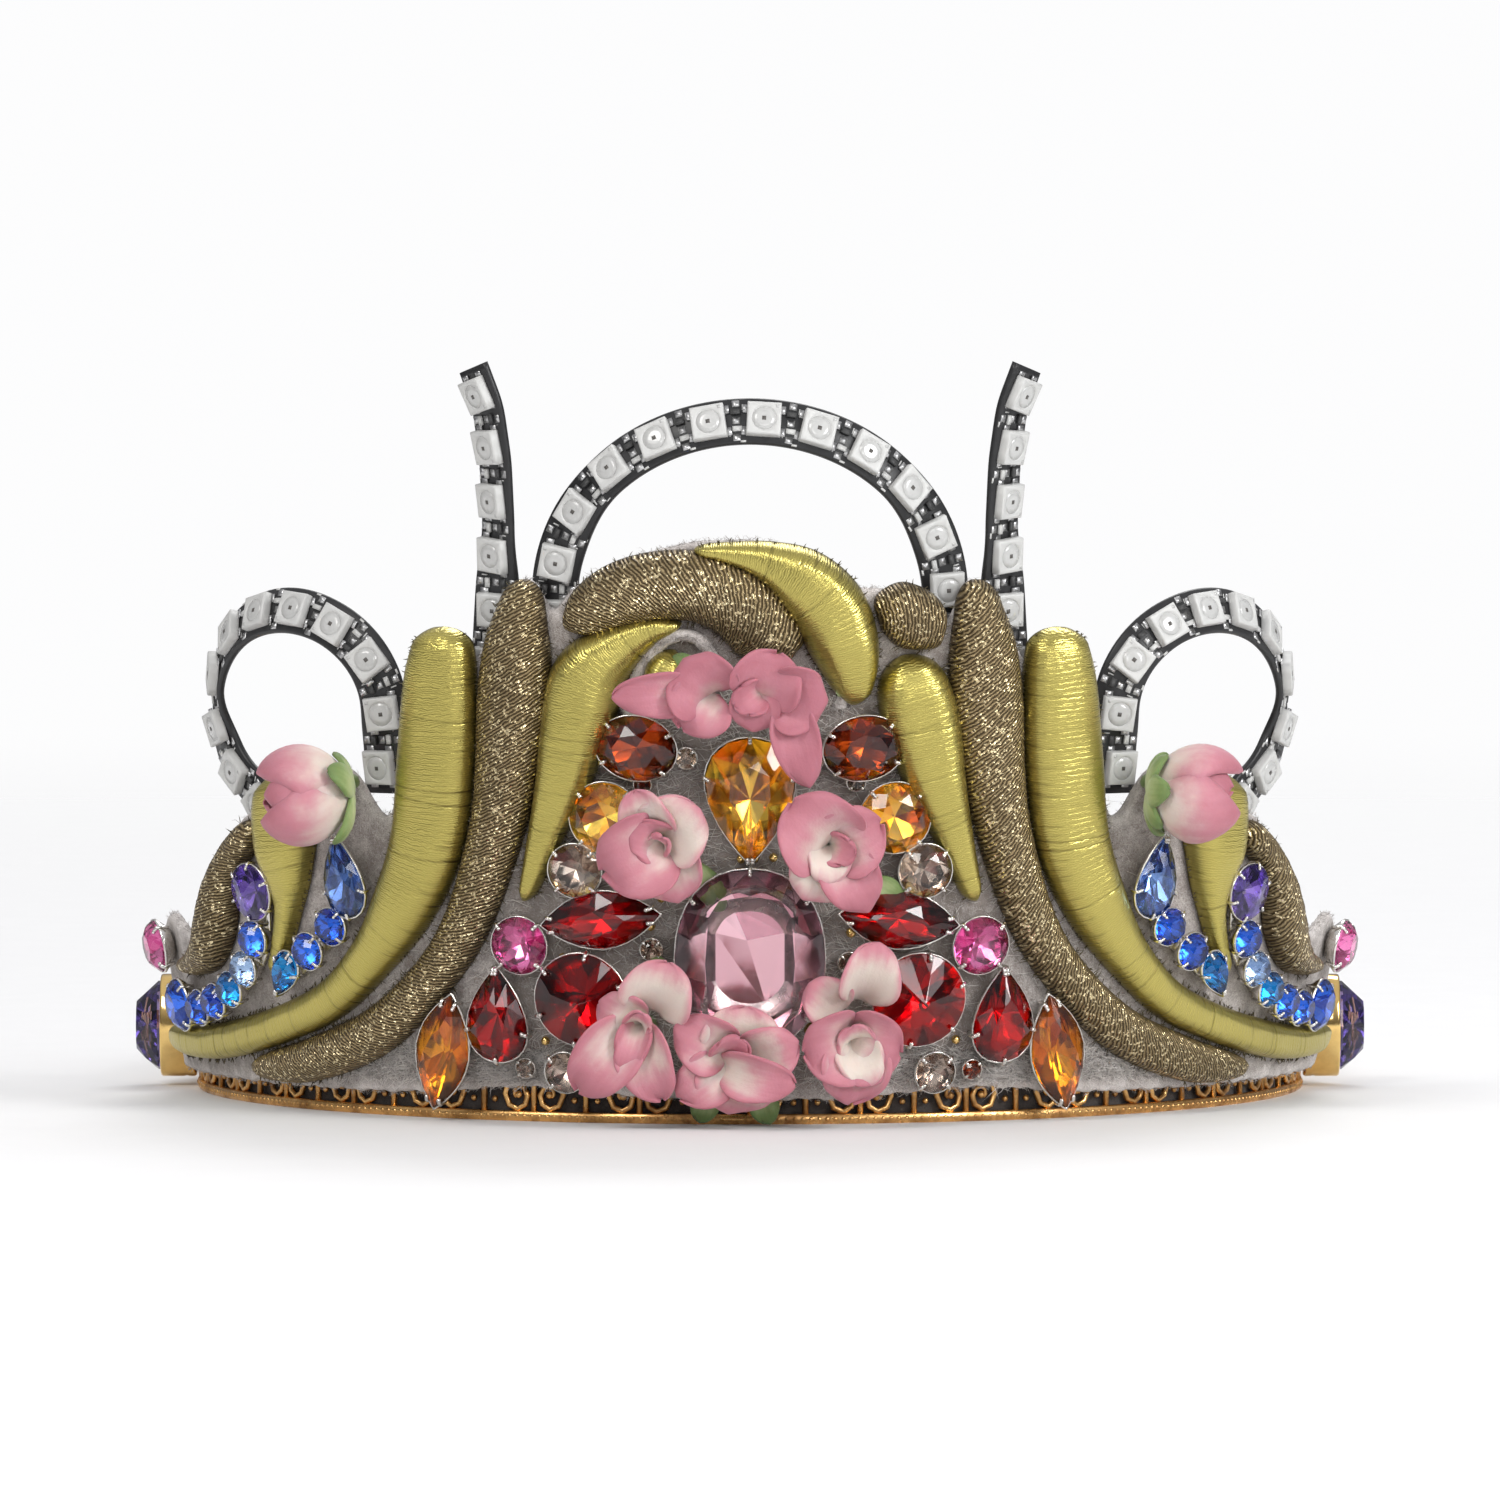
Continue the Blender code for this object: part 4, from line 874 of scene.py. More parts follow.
# Name, colour, cut, turn, height, width, length, lean, depth of the cup, rise of the crown. Lengths are in
# millimetres, turn and lean in degrees.
STONES = (
    ("stone_pink", "pink", "cushion", 0, 26.8, 22, 27, 0, PINK_CUP, 3.2),
    ("stone_amber_pear", "amber", "pear", 0, 50.5, 14.2, 19, 180, BIG_CUP, 2.4),
)
PAIRED_STONES = (
    ("stone_smoke", "smoke", "oval", 9.5, 58.3, 12, 9.6, 10, CUP, 2.2),
    ("stone_amber", "amber", "round", 12.4, 47.8, 10.6, 10.6, 0, CUP, 2.0),
    ("stone_champagne", "clear", "round", 15.3, 39.7, 8.0, 8.0, 0, CUP, 1.6),
    ("stone_navette", "red", "navette", 13.2, 32.3, 8.6, 18, 84, CUP, 1.8),
    ("stone_fuchsia", "fuchsia", "round", 20.9, 28.2, 8.6, 8.6, 0, CUP, 1.8),
    ("stone_rivoli", "red", "rivoli", 15.3, 20.2, 14, 14, 0, BIG_CUP, 3.0),
    ("stone_red_pear", "red", "pear", 23.6, 17.6, 10.4, 14.4, 4, CUP, 2.2),
    ("stone_amber_navette", "honey", "navette", 29.6, 11.6, 8.8, 18, 16, CUP, 2.0),
    ("stone_low_clear", "clear", "round", 17.4, 8.8, 6, 6, 0, SMALL_CUP, 1.2),
    ("stone_pink_side", "fuchsia", "round", 74, 24.4, 8, 8, 0, SMALL_CUP, 1.6),
)
ALL_STONES = STONES + tuple(
    (f"{name}_{side}", colour, cut, sign * turn, rise, width, length, sign * lean, *depths)
    for name, colour, cut, turn, rise, width, length, lean, *depths in PAIRED_STONES for side, sign in SIDES)
# The pink stone's shallow bottom facets: first and last main facet and shade. Their shades are painted
# reflections, and the upper left one, the palest, is a painted highlight.
PAINTED_BOTTOM_FACETS = ((12, 9, 0.86), (9, 5, 0.78), (5, 3, 1.0), (3, 0, 0.4))
# Number and shade of two of its facets, counted in the order in which they are made, which are made
# brighter as painted highlights.
PAINTED_HIGHLIGHT_FACETS = ((19, 0.7), (30, 1.0))


def cut_glass(n, given):
    """Faint wear of a cut stone: cloudy tint, and fine scratches that dull its polish."""
    place = n.place()
    paler = n.mix(0.12, given["Tint"], (1, 1, 1))
    return {"Colour": n.mix(n.noise(place, 320, 3), given["Tint"], paler),
            "Roughness": n.spread(n.noise(place, 1500, Distortion=4.0), 0.45, 0.8, 0.01, 0.05)}


def facet_foil(n, given):
    """Tinted foil behind a cut stone: each facet has its own shade, and a haze dulls its shine."""
    return {"Colour": n.mix(given["Shade"], given["Dark"], given["Light"]),
            "Roughness": n.spread(n.noise(n.place(), 900), 0, 1, 0.08, 0.24)}


CUT_GLASS = new_group(cut_glass, ("Tint",))
FACET_FOIL = new_group(facet_foil, ("Dark", "Light"), ("Shade",))


def stone_materials(name, glass, light, dark):
    """The clear glass of a stone's crown and the tinted foil behind it."""
    def glass_look(n):
        wear = n.group(CUT_GLASS, Tint=glass)
        return {"Transmission Weight": 1.0, "IOR": 1.55, "Metallic": 0.0, "Base Color": wear["Colour"],
                "Roughness": wear["Roughness"]}

    def foil_look(n):
        foil = n.group(FACET_FOIL, Dark=dark, Light=light, Shade=n.tone())
        return {"Metallic": 1.0, "Base Color": foil["Colour"], "Roughness": foil["Roughness"]}
    return [new_material(f"{name}_glass", glass_look), new_material(f"{name}_foil", foil_look)]


def outline(cut, angle):
    """The edge of a cut stone at an angle, in shares of half its width and length."""
    across, along = np.cos(angle), np.sin(angle)
    if cut == "cushion":
        return np.sign(across) * np.abs(across) ** 0.9, np.sign(along) * np.abs(along) ** 0.9
    if cut == "pear":
        return along * np.abs(np.sin(angle / 2)) ** 0.95 * -1.2, across
    if cut == "navette":
        return -np.sign(along) * (1 - across ** 2), across
    return across, along


def crest_frame(turn, height, proud, lean=0.0):
    """Axes along the band, up the crest and outward, turned by lean degrees, and the place itself."""
    angle, turned = math.radians(turn), math.radians(lean)
    outward = np.array((math.sin(angle), -math.cos(angle), 0))
    along = np.array((math.cos(angle), math.sin(angle), 0))
    up = np.array((0, 0, math.cos(CREST_FLARE))) + outward * math.sin(CREST_FLARE)
    axes = np.stack((along * math.cos(turned) + up * math.sin(turned),
                     up * math.cos(turned) - along * math.sin(turned), np.cross(along, up)))
    return axes, crest_places(along_crest(turn, height), height, proud)


def add_cut_stone(shape, frame, cut, size, cup, crown, glass_slot):
    """A faceted stone. The glass takes glass_slot and the foil the slot after it."""
    mains, table, ring, _ = CUTS[cut]
    stepped = cut == "cushion"
    half, top = np.array(size) / 2, cup + GIRDLE
    centre = np.array((0, -0.2 if cut == "pear" else 0))
    edge = np.stack(outline(cut, np.pi * np.arange(2 * mains) / mains), 1)
    boxed = np.sign(edge) * np.abs(edge) ** 0.6
    slim = math.cos(math.pi / mains)
    pavilion = 0.76 if stepped else 0.44
    even, odd, every = slice(0, None, 2), slice(1, None, 2), slice(None)

    def level_ring(share, picks, level):
        return ring_at((centre + (edge[picks] - centre) * share) * half, level)

    points = np.concatenate((
        ring_at(boxed[even] * half * (0.60, 0.77), top + crown) if stepped else
        level_ring(table, even, top + crown),
        level_ring(ring, odd, top + crown * (1 - (ring * slim - table) / (1 - table))),
        level_ring(1, every, top), level_ring(1, every, cup),
        level_ring(pavilion, odd, CULET + (cup - CULET) * (0.5 if stepped else pavilion * slim)),
        ring_at(boxed[odd] * half * (0.47, 0.57), CULET) if stepped else level_ring(0, odd, CULET),
        [(-0.04 * half[0], 0.2 * half[1], CULET + 0.7 * MM) if stepped else (0, 0, CULET)]))
    # First point of the table, mid-crown, top and foot of the girdle, mid-pavilion, bottom, and the culet.
    t, m, g, s, p, q, culet = (mains * share for share in (0, 1, 2, 4, 6, 7, 8))
    faces, slots = [range(mains)], [0]
    for k in range(mains):
        after, before = (k + 1) % mains, (k - 1) % mains
        a, b, c = 2 * k, 2 * k + 1, (2 * k + 2) % (2 * mains)
        faces += [(t + k, m + k, t + after), (t + k, m + before, g + a, m + k), (m + k, g + a, g + b),
                  (m + k, g + b, g + c), (g + a, s + a, s + b, g + b), (g + b, s + b, s + c, g + c),
                  (p + k, s + b, s + a), (p + k, s + c, s + b)]
        faces += [(q + before, q + k, p + k, p + before), (p + before, p + k, s + a)] if stepped else [
            (culet, p + k, s + a, p + before)]
        slots += [0] * 6 + [1] * (4 if stepped else 3)
    tones = [facet_shades.random() ** 1.3 if slot else 0.0 for slot in slots]
    # Painted reflections and highlights: set shades on the pink stone's bottom facets and two brighter ones.
    if stepped:
        tones = [min(0.25 + tone, 1) * slot for tone, slot in zip(tones, slots)]
        for first, last, tone in PAINTED_BOTTOM_FACETS:
            faces.append([culet] + [q + k % mains for k in range(first, last - 1, -1)])
            slots.append(1)
            tones.append(tone)
        for facet, tone in PAINTED_HIGHLIGHT_FACETS:
            tones[facet] = tone
    for face, tone, slot in zip(faces, tones, slots):
        shape.add((), [[face]], tone, glass_slot + slot, smooth=False)
    shape.add(placed(frame, points), ())


def add_cup(shape, frame, cut, size, cup, crown, prong=PRONG, columns=32):
    """The metal cup round a stone, open in front, and its prongs."""
    half, top = np.array(size) / 2, cup + GIRDLE
    around = np.stack(outline(cut, 2 * np.pi * np.arange(columns) / columns), 1) * half
    wall = CUP_WALL / half.min()
    shape.loft(placed(frame, [ring_at(around * share, level) for share, level in (
        (0.6, 0), (0.74, cup * 0.25), (1 + wall, cup * 0.86), (1 + wall, cup + GIRDLE * 0.4),
        (1 + wall * 0.2, cup + GIRDLE * 0.4), (1 + wall * 0.1, cup * 0.98), (0.5, 0.12 * MM))]))
    for degrees in CUTS[cut][3]:
        edge = np.array(outline(cut, math.radians(degrees))) * half
        out = edge / (np.linalg.norm(edge) + 1e-9)
        path = [(*(edge + out * away), level) for away, level in (
            (-0.1 * MM, cup * 0.3), (prong * 0.7, cup * 0.8), (prong * 0.9, top), (0.0, top + crown * 0.16),
            (-0.5 * MM, top + crown * 0.26))]
        shape.tube(path, np.array((0.8, 1, 1, 0.95, 0.8)) * prong, 7, frame=frame)
        shape.add(placed(frame, path[-1] + BALL * prong * 1.1), BALL_FACES)


def add_set_stone(shape, frame, cut, width, length, cup, crown, glass_slot, **prongs):
    """A stone in its cup, sized in millimetres."""
    sizes = (width * MM, length * MM), cup * MM, crown * MM
    add_cut_stone(shape, frame, cut, *sizes, glass_slot)
    add_cup(shape, frame, cut, *sizes, **prongs)


facet_shades = random.Random(21)
silver = metal_material("silver_cup", (0.82, 0.80, 0.76), (0.36, 0.33, 0.30), 0.6, 0.16, 0.05)
GLASS = {colour: stone_materials(colour, *values) for colour, values in STONE_COLOURS.items()}
for name, colour, cut, turn, rise, width, length, lean, cup, crown in ALL_STONES:
    stone = Shape()
    add_set_stone(stone, crest_frame(turn, rise * MM, SEAT, lean), cut, width, length, cup, crown, 1)
    slot = "amber_glass" if colour == "honey" else f"{colour}_glass"
    stone_piece = stone.build(f"{name}_set", [silver, *GLASS[colour]], slot)
    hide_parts(name)

# Strings of small stones
# Two short rows on either side, each of small blue stones in joined cups on a narrow strip of silver,
# with a pear at the ends of the inner row and a violet pointed stone at the top of the outer one.
STRING_WIDTH = 0.0028
STRING_WALL = 0.001
STRING_SINK = 0.0005
STRING_CUP, STRING_CROWN = 2.4, 1.4
# Colour, cut, turn, height, width, length, lean.
STRINGS = {
    "spray": (("sky_blue", "pear", 38.3, 38.0, 8.0, 12.4, -4), ("blue", "round", 40.5, 30.2, 5.6, 5.6, 0),
              ("blue", "round", 43.8, 26.2, 5.6, 5.6, 0), ("turquoise", "pear", 47.4, 22.4, 5.2, 7.6, 215)),
    "row": (("violet", "rivoli", 50.4, 34.9, 8.6, 8.6, 0), ("blue", "round", 51.2, 27.6, 5.6, 5.6, 0),
            ("pale_blue", "round", 53.4, 22.8, 5.4, 5.4, 0), ("turquoise", "round", 56.4, 19.4, 5.4, 5.4, 0),
            ("blue", "round", 59.8, 17.2, 5.4, 5.4, 0), ("blue", "round", 63.4, 15.9, 5.4, 5.4, 0),
            ("blue", "round", 68.3, 15.9, 8.0, 8.0, 0)),
}
for name, beads in STRINGS.items():
    turns, heights = np.array([bead[2:4] for bead in beads]).T
    colours = list(dict.fromkeys(bead[0] for bead in beads))
    for side, sign in SIDES:
        string = Shape()
        line = smooth_rows(np.stack((sign * along_crest(turns, heights * MM), heights * MM), 1), 0.0008)[1]
        ahead = np.gradient(line, axis=0)
        ahead *= STRING_WIDTH / 2 / np.linalg.norm(ahead, axis=1)[:, None]
        string.loft(np.stack([
            crest_places(line[:, 0] - across * ahead[:, 1], line[:, 1] + across * ahead[:, 0],
                         SEAT + proud * STRING_WALL)
            for across, proud in ((-1, 0.1), (0.9, 0), (1, 0.9), (-0.9, 1))], 1))
        for colour, cut, turn, rise, width, length, lean in beads:
            bead_frame = crest_frame(sign * turn, rise * MM, SEAT + STRING_WALL - STRING_SINK, sign * lean)
            add_set_stone(string, bead_frame, cut, width, length, STRING_CUP, STRING_CROWN,
                          1 + 2 * colours.index(colour), prong=0.00028, columns=24)
        materials = sum((GLASS[colour] for colour in colours), [silver])
        string_piece = string.build(f"{name}_{side}_set", materials, "blue_glass")
        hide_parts(f"{name}_{side}")

# Collets
# A polished gold ring of sheet metal stands out from either side of the band. It is burnished over
# the edge of a large dark violet stone.
COLLET_HEIGHT = 0.0093
COLLET_SIZE = np.array((0.012, 0.016))
COLLET_DEPTH = 0.0056
COLLET_WALL = 0.0008
COLLET_FLOOR = 0.0016
BEZEL_RISE = 0.0038
# Share of the outer wall (0) to the inner wall (1), and level.
COLLET_PROFILE = ((0.3, 0), (0, 0.0003), (0, 0.0012), (0.12, 0.0014), (0.12, 0.0017), (0, 0.0019),
                  (0, COLLET_DEPTH - 0.0004), (0.2, COLLET_DEPTH - 0.0001), (0.6, COLLET_DEPTH),
                  (0.98, COLLET_DEPTH - 0.0001), (1, COLLET_DEPTH - 0.0004), (1, COLLET_FLOOR))
gold = metal_material("polished_gold", (0.92, 0.64, 0.24), (0.50, 0.28, 0.08), 0.35, 0.08, 0.03)
for side, sign in SIDES:
    outward = np.array((sign, 0.0, 0.0))
    axes = np.array((np.cross((0, 0, 1), outward), (0, 0, 1), outward))
    place = band_places(sign * 90, BAND_WALL / 2 + GAP, COLLET_HEIGHT)
    collet = Shape()
    collet.loft(placed((axes, place), [ring_at(circle(72) * (COLLET_SIZE / 2 - COLLET_WALL * share), level)
                                       for share, level in COLLET_PROFILE]))
    collet_piece = collet.build(f"collet_{side}_ring", [gold], "gold")
    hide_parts(f"collet_{side}")
    stone = Shape()
    stone_size = COLLET_SIZE - 2 * COLLET_WALL - 2 * GAP
    add_cut_stone(stone, (axes, place + outward * (COLLET_FLOOR + GAP)), "oval", stone_size,
                  COLLET_DEPTH - COLLET_FLOOR - GAP, BEZEL_RISE - GIRDLE, 0)
    stone_piece = stone.build(f"stone_purple_{side}_cut", GLASS["purple"], "purple_glass")
    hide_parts(f"stone_purple_{side}")

# Roses
# Small flowers shaped by hand in a fine matt paste, white at the heart and pink toward the rims, each
# of a few cupped petals with rolled lips on a short green stem that is sewn down between the stones.
ROSE_FOOT = 0.0054
ROSE_RISE = 0.0020
PETAL_WALL = 0.0008
# Under the head: share of the height and of the radius.
STEM_PROFILE = ((0, 1.0), (0.12, 0.8), (0.6, 0.75), (0.85, 1.1), (1.0, 1.9))
# Name, turn, height and the petals. A petal has the place of its base, the way it points in degrees,
# length, width, wrap across, rise at its base, curl to its tip, ruffle, paleness.
ROSES = (
    ("rose_top", -1.6, 64.6, (
        (-3.0, 1.6, 182, 15.0, 8.0, 100, 34, -48, 0.5, 0.05),
        (-3.0, 1.0, 232, 7.5, 12.0, 115, 54, -85, 0.5, 0.1),
        (-2.6, 1.0, 128, 8.5, 14.0, 130, 64, -110, 0.5, -0.15),
        (8.2, 1.2, 284, 15.0, 8.5, 110, 34, -52, 0.6, -0.25),
        (4.0, 1.2, 264, 6.5, 9.0, 110, 52, -80, 0.4, -0.05),
        (4.4, 0.8, 66, 8.5, 13.5, 130, 56, -104, 0.6, -0.2),
        (7.0, 1.0, 355, 8.5, 13.0, 130, 52, -98, 0.6, -0.25),
        (4.4, 1.2, 200, 5.5, 8.0, 180, 62, -56, 0.3, -0.15))),
    ("rose_mid_left", -7.5, 43.6, (
        (-0.5, 1.2, 105, 10.5, 10.5, 130, 66, -70, 0.5, 0.75),
        (0.5, 0.5, 40, 10.0, 14.0, 120, 62, -85, 0.6, 0.85),
        (1.0, -0.5, 285, 10.0, 12.0, 110, 50, -85, 0.5, 0.55),
        (0.8, 0.0, 205, 12.5, 15.5, 125, 68, -118, 0.7, 0.1),
        (0.3, 0.3, 150, 7.5, 10.0, 170, 78, -70, 0.3, 0.2),
        (0.6, 0.2, 60, 5.5, 7.0, 230, 84, -20, 0.2, 0.5))),
    ("rose_mid_right", 7.0, 42.6, (
        (-0.8, -0.6, 240, 9.5, 12.0, 110, 56, -85, 0.5, 0.85),
        (-1.0, 0.6, 130, 12.0, 16.5, 130, 68, -110, 0.6, 0.2),
        (-0.6, 0.4, 30, 10.0, 13.5, 125, 66, -105, 0.6, 0.25),
        (0.0, -0.4, 298, 12.0, 10.5, 110, 58, -95, 0.5, 0.1),
        (-1.2, -0.3, 265, 7.0, 9.0, 150, 74, -70, 0.3, 0.9),
        (-0.4, 0.2, 350, 6.0, 8.0, 190, 80, -50, 0.3, 0.2))),
    ("rose_low_left", -9.8, 13.6, (
        (2.6, 4.0, 70, 10.0, 13.5, 120, 54, -85, 0.5, 0.75),
        (0.6, 2.4, 150, 8.0, 9.0, 110, 56, -85, 0.4, 0.5),
        (0.4, 1.4, 290, 13.0, 10.5, 120, 60, -100, 0.5, 0.4),
        (-0.6, 2.0, 230, 15.0, 12.0, 125, 60, -105, 0.5, 0.25),
        (0.4, 1.6, 255, 9.0, 7.5, 170, 74, -80, 0.3, 0.1), (0.6, 2.6, 60, 5.5, 7.0, 200, 80, -40, 0.2, 0.6))),
    ("rose_low_centre", -0.6, 10.2, (
        (-2.0, 1.4, 150, 11.0, 11.0, 115, 58, -95, 0.5, 0.3),
        (-0.6, 1.6, 80, 8.5, 14.0, 100, 54, -80, 0.5, 0.85),
        (-0.8, -0.4, 262, 8.5, 14.0, 105, 50, -85, 0.5, 0.6),
        (-2.6, -0.2, 215, 10.0, 10.0, 110, 56, -90, 0.5, 0.35),
        (0.4, 0.6, 20, 10.0, 10.5, 110, 58, -90, 0.5, 0.5),
        (-3.0, -0.6, 350, 13.5, 9.5, 140, 62, -95, 0.4, 0.25),
        (-2.0, 1.2, 60, 6.5, 9.0, 180, 78, -60, 0.3, 0.15))),
    ("rose_low_right", 9.4, 14.0, (
        (0.2, 5.4, 80, 11.5, 11.5, 130, 56, -80, 0.5, 0.72),
        (-2.6, 3.6, 140, 8.0, 9.0, 100, 50, -80, 0.4, 0.6),
        (-0.6, -1.0, 265, 10.5, 12.5, 110, 56, -90, 0.6, 0.4),
        (-1.4, -0.6, 190, 9.5, 14.5, 130, 68, -105, 0.5, 0.2),
        (-0.8, -0.6, 345, 9.0, 14.5, 130, 68, -105, 0.5, 0.15),
        (-0.6, -1.6, 290, 8.0, 9.5, 150, 70, -60, 0.3, 1.0),
        (-0.8, -0.4, 110, 5.5, 9.0, 170, 78, -50, 0.3, 0.7))),
)


def petal_paste(n, given):
    """Matt flower paste: faint radial creases, a fine tooth and colour brushed on unevenly."""
    place = n.place()
    stretched = n.add("Mapping", {"Vector": n.add("UVMap", uv_map="weave"), "Scale": (9.0, 1.1, 1.0)})
    crease = n.noise(stretched, 0.8, 4)
    shaken = n.math("MULTIPLY_ADD", n.noise(place, 330, 4), 0.5, given["Blush"])
    creased = n.math("MULTIPLY_ADD", crease, 0.45, shaken)
    share = n.spread(creased, 0.55, 1.25, interpolation_type="SMOOTHSTEP")
    dyed = n.mix(share, given["White"], given["Pink"])
    return {"Colour": n.mix(n.spread(creased, 1.2, 1.65, 0, 0.55), dyed, given["Deep"]),
            "Height": n.math("MULTIPLY_ADD", crease, 2.0, n.noise(place, 2600))}


PETAL_PASTE = new_group(petal_paste, ("White", "Pink", "Deep"), ("Blush",))


def petal_material(name, white, pink, deep):
    def look(n):
        paste = n.group(PETAL_PASTE, White=white, Pink=pink, Deep=deep, Blush=n.tone())
        return {"Roughness": 0.62, "Subsurface Weight": 0.12, "Subsurface Scale": 0.0015,
                "Sheen Weight": 0.15, "Base Color": paste["Colour"], "Normal": n.bump(paste["Height"], 0.3)}
    return new_material(name, look)


def add_petal(shape, frame, length, width, wrap, rise, curl, ruffle, pale, point=0.0, roll=1.5, lip=1.5,
              slot=0, columns=21, rows=19):
    """A petal that grows along the frame's second axis and cups toward its third.

    The length, width and ruffle are in millimetres and the wrap, rise and curl in degrees.
    """
    length, width, turn = length * MM, width * MM, math.radians(wrap) / 2
    across = np.sin(np.linspace(-1, 1, columns) * np.pi / 2)[None, :]
    up = np.sin(np.linspace(0, 1, rows) * np.pi / 2)[:, None]
    rim = np.sqrt(np.clip(1 - np.clip((up - 0.42) / 0.58, 0, 1) ** (2.6 - 1.2 * point), 0, 1))
    half = width / 2 * (0.30 + 0.70 * np.sin(np.pi / 2 * np.minimum(up / 0.55, 1))) * np.maximum(rim, 0.10)
    reach = np.linspace(0, 1, 60)
    slope = np.radians(rise + curl * reach ** roll)
    along, lift = (np.concatenate(([0], np.cumsum(step[:-1]))) / (len(reach) - 1) * length
                   for step in (np.cos(slope), np.sin(slope)))
    edge_length = up * (1 - 0.13 * (1 - point) * across ** 2 * up * rim ** 2)
    y, z, tilt = (np.interp(edge_length, reach, values) for values in (along, lift, slope))
    cup = half / turn * (1 - np.cos(turn * across)) * (1 - lip * up ** 3)
    cup = cup + ruffle * MM * up ** 3 * np.sin(4.2 * across + 2.0 * pale + rise) * (0.4 + np.abs(across))
    front = np.stack(np.broadcast_arrays(
        half / turn * np.sin(turn * across), y - cup * np.sin(tilt), z + cup * np.cos(tilt)), -1)
    wall = np.cross(np.gradient(front, axis=1), np.gradient(front, axis=0))
    wall /= np.linalg.norm(wall, axis=-1)[..., None] + 1e-12
    thin = np.sqrt(np.clip(1 - np.abs(across) ** 12, 0.08, 1) * np.clip(1 - up ** 14, 0.08, 1))
    wall *= PETAL_WALL / 2 * thin[..., None]
    near_rim = np.maximum(np.abs(across) ** 2.2 * 0.9, up ** 2.4)
    blush = np.clip(near_rim * 0.85 + 0.66 - 0.9 * pale - 0.5 * (1 - up) ** 1.5, 0, 1.35)
    weave = np.stack(np.broadcast_arrays(half / (width + 1e-9) * across, up), -1)
    rings, tone, weave = (np.concatenate((near, far[:, ::-1]), 1) for near, far in (
        (front - wall, front + wall), (blush, blush), (weave, weave)))
    inward = [faces[:, ::-1] for faces in loft_faces(rows, 2 * columns)]
    shape.add(placed(frame, rings), inward, tone, slot, weave)


def turned_frame(frame, place, degrees):
    """The frame moved to a place in it, with its second axis turned to point at degrees from the first."""
    axes, origin = frame
    angle = math.radians(degrees)
    y_axis = axes[0] * math.cos(angle) + axes[1] * math.sin(angle)
    return np.stack((np.cross(y_axis, axes[2]), y_axis, axes[2])), origin + np.asarray(place) @ axes


def add_stem(shape, frame, place, height, radius):
    """A short stem that widens under the flower's head."""
    shape.loft(placed(frame, [ring_at(place + circle(10) * radius * share, height * level)
                              for level, share in STEM_PROFILE]), 0.8, 1)


petal_pink = petal_material("petal_paste", (0.65, 0.56, 0.495), (0.51, 0.195, 0.24), (0.33, 0.085, 0.12))
leaf_green = petal_material("leaf_green", (0.42, 0.50, 0.24), (0.16, 0.24, 0.07), (0.05, 0.09, 0.02))
for name, turn, rise, petals in ROSES:
    rose = Shape()
    axes, origin = rose_frame = crest_frame(turn, rise * MM, SEAT)
    head = axes, origin + axes[2] * ROSE_FOOT + axes[1] * ROSE_RISE
    for order, (x, y, points_to, *form) in enumerate(petals):
        add_petal(rose, turned_frame(head, (x * MM, y * MM, (0.1 + 0.1 * order) * MM), points_to), *form)
    middle = np.mean([petal[:2] for petal in petals], axis=0) * MM
    add_stem(rose, rose_frame, middle, ROSE_FOOT + 0.5 * MM, 0.0013)
    rose_piece = rose.build(f"{name}_petals", [petal_pink, leaf_green], "petal")
    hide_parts(name)

# Rosebuds
# A closed bud on either side, its petals wrapped into a ball that opens away from the middle, held in
# green sepals.
BUD_TURN = 38.3
BUD_HEIGHT = 0.052
BUD_FOOT = 0.0054
# The way it points, along the band, up and outward, and how its base lies over the stem.
BUD_AIM = np.array((0.80, 0.05, 0.60))
BUD_LIFT, BUD_BACK = 0.005, 0.0072
# Way round the bud, length, width, wrap, rise, curl, ruffle and paleness of each petal.
BUD_PETALS = ((80, 18.5, 19.0, 165, -2, 152, 0.3, 0.30), (200, 18.0, 18.0, 165, -2, 150, 0.4, 0.22),
              (320, 18.0, 18.0, 165, -2, 148, 0.3, 0.26), (20, 16.0, 15.0, 150, 4, 140, 0.5, 0.15),
              (145, 15.0, 14.0, 150, 8, 136, 0.5, 0.10), (265, 14.0, 13.0, 150, 12, 132, 0.5, 0.10))
# Way round the bud and length of each sepal.
SEPALS = ((40, 8.5), (100, 7), (165, 8), (230, 6.5), (300, 9))
SEPAL_DROP = 0.0007
for side, sign in SIDES:
    bud = Shape()
    axes, origin = stem_frame = crest_frame(sign * BUD_TURN, BUD_HEIGHT, SEAT)
    pointing = (BUD_AIM * (sign, 1, 1)) @ axes
    pointing /= np.linalg.norm(pointing)
    aside = np.cross(axes[1], pointing)
    aside /= np.linalg.norm(aside)
    bud_frame = (np.stack((aside, np.cross(pointing, aside), pointing)),
                 origin + axes[2] * (BUD_FOOT + BUD_LIFT) - pointing * BUD_BACK)
    for points_to, *form in BUD_PETALS:
        add_petal(bud, turned_frame(bud_frame, (0, 0, 0), points_to), *form, roll=1.0, lip=0.3)
    for points_to, length in SEPALS:
        sepal_frame = turned_frame(bud_frame, (0, 0, -SEPAL_DROP), points_to)
        add_petal(bud, sepal_frame, length, 5.4, 60, -8, 75, 0.2, 0.5, point=0.6, lip=0.8, slot=1, columns=9,
                  rows=11)
    add_stem(bud, stem_frame, (sign * -2.2 * MM, 0), BUD_FOOT + 0.4 * MM, 0.0011)
    bud_piece = bud.build(f"bud_{side}_petals", [petal_pink, leaf_green], "petal")
    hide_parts(f"bud_{side}")

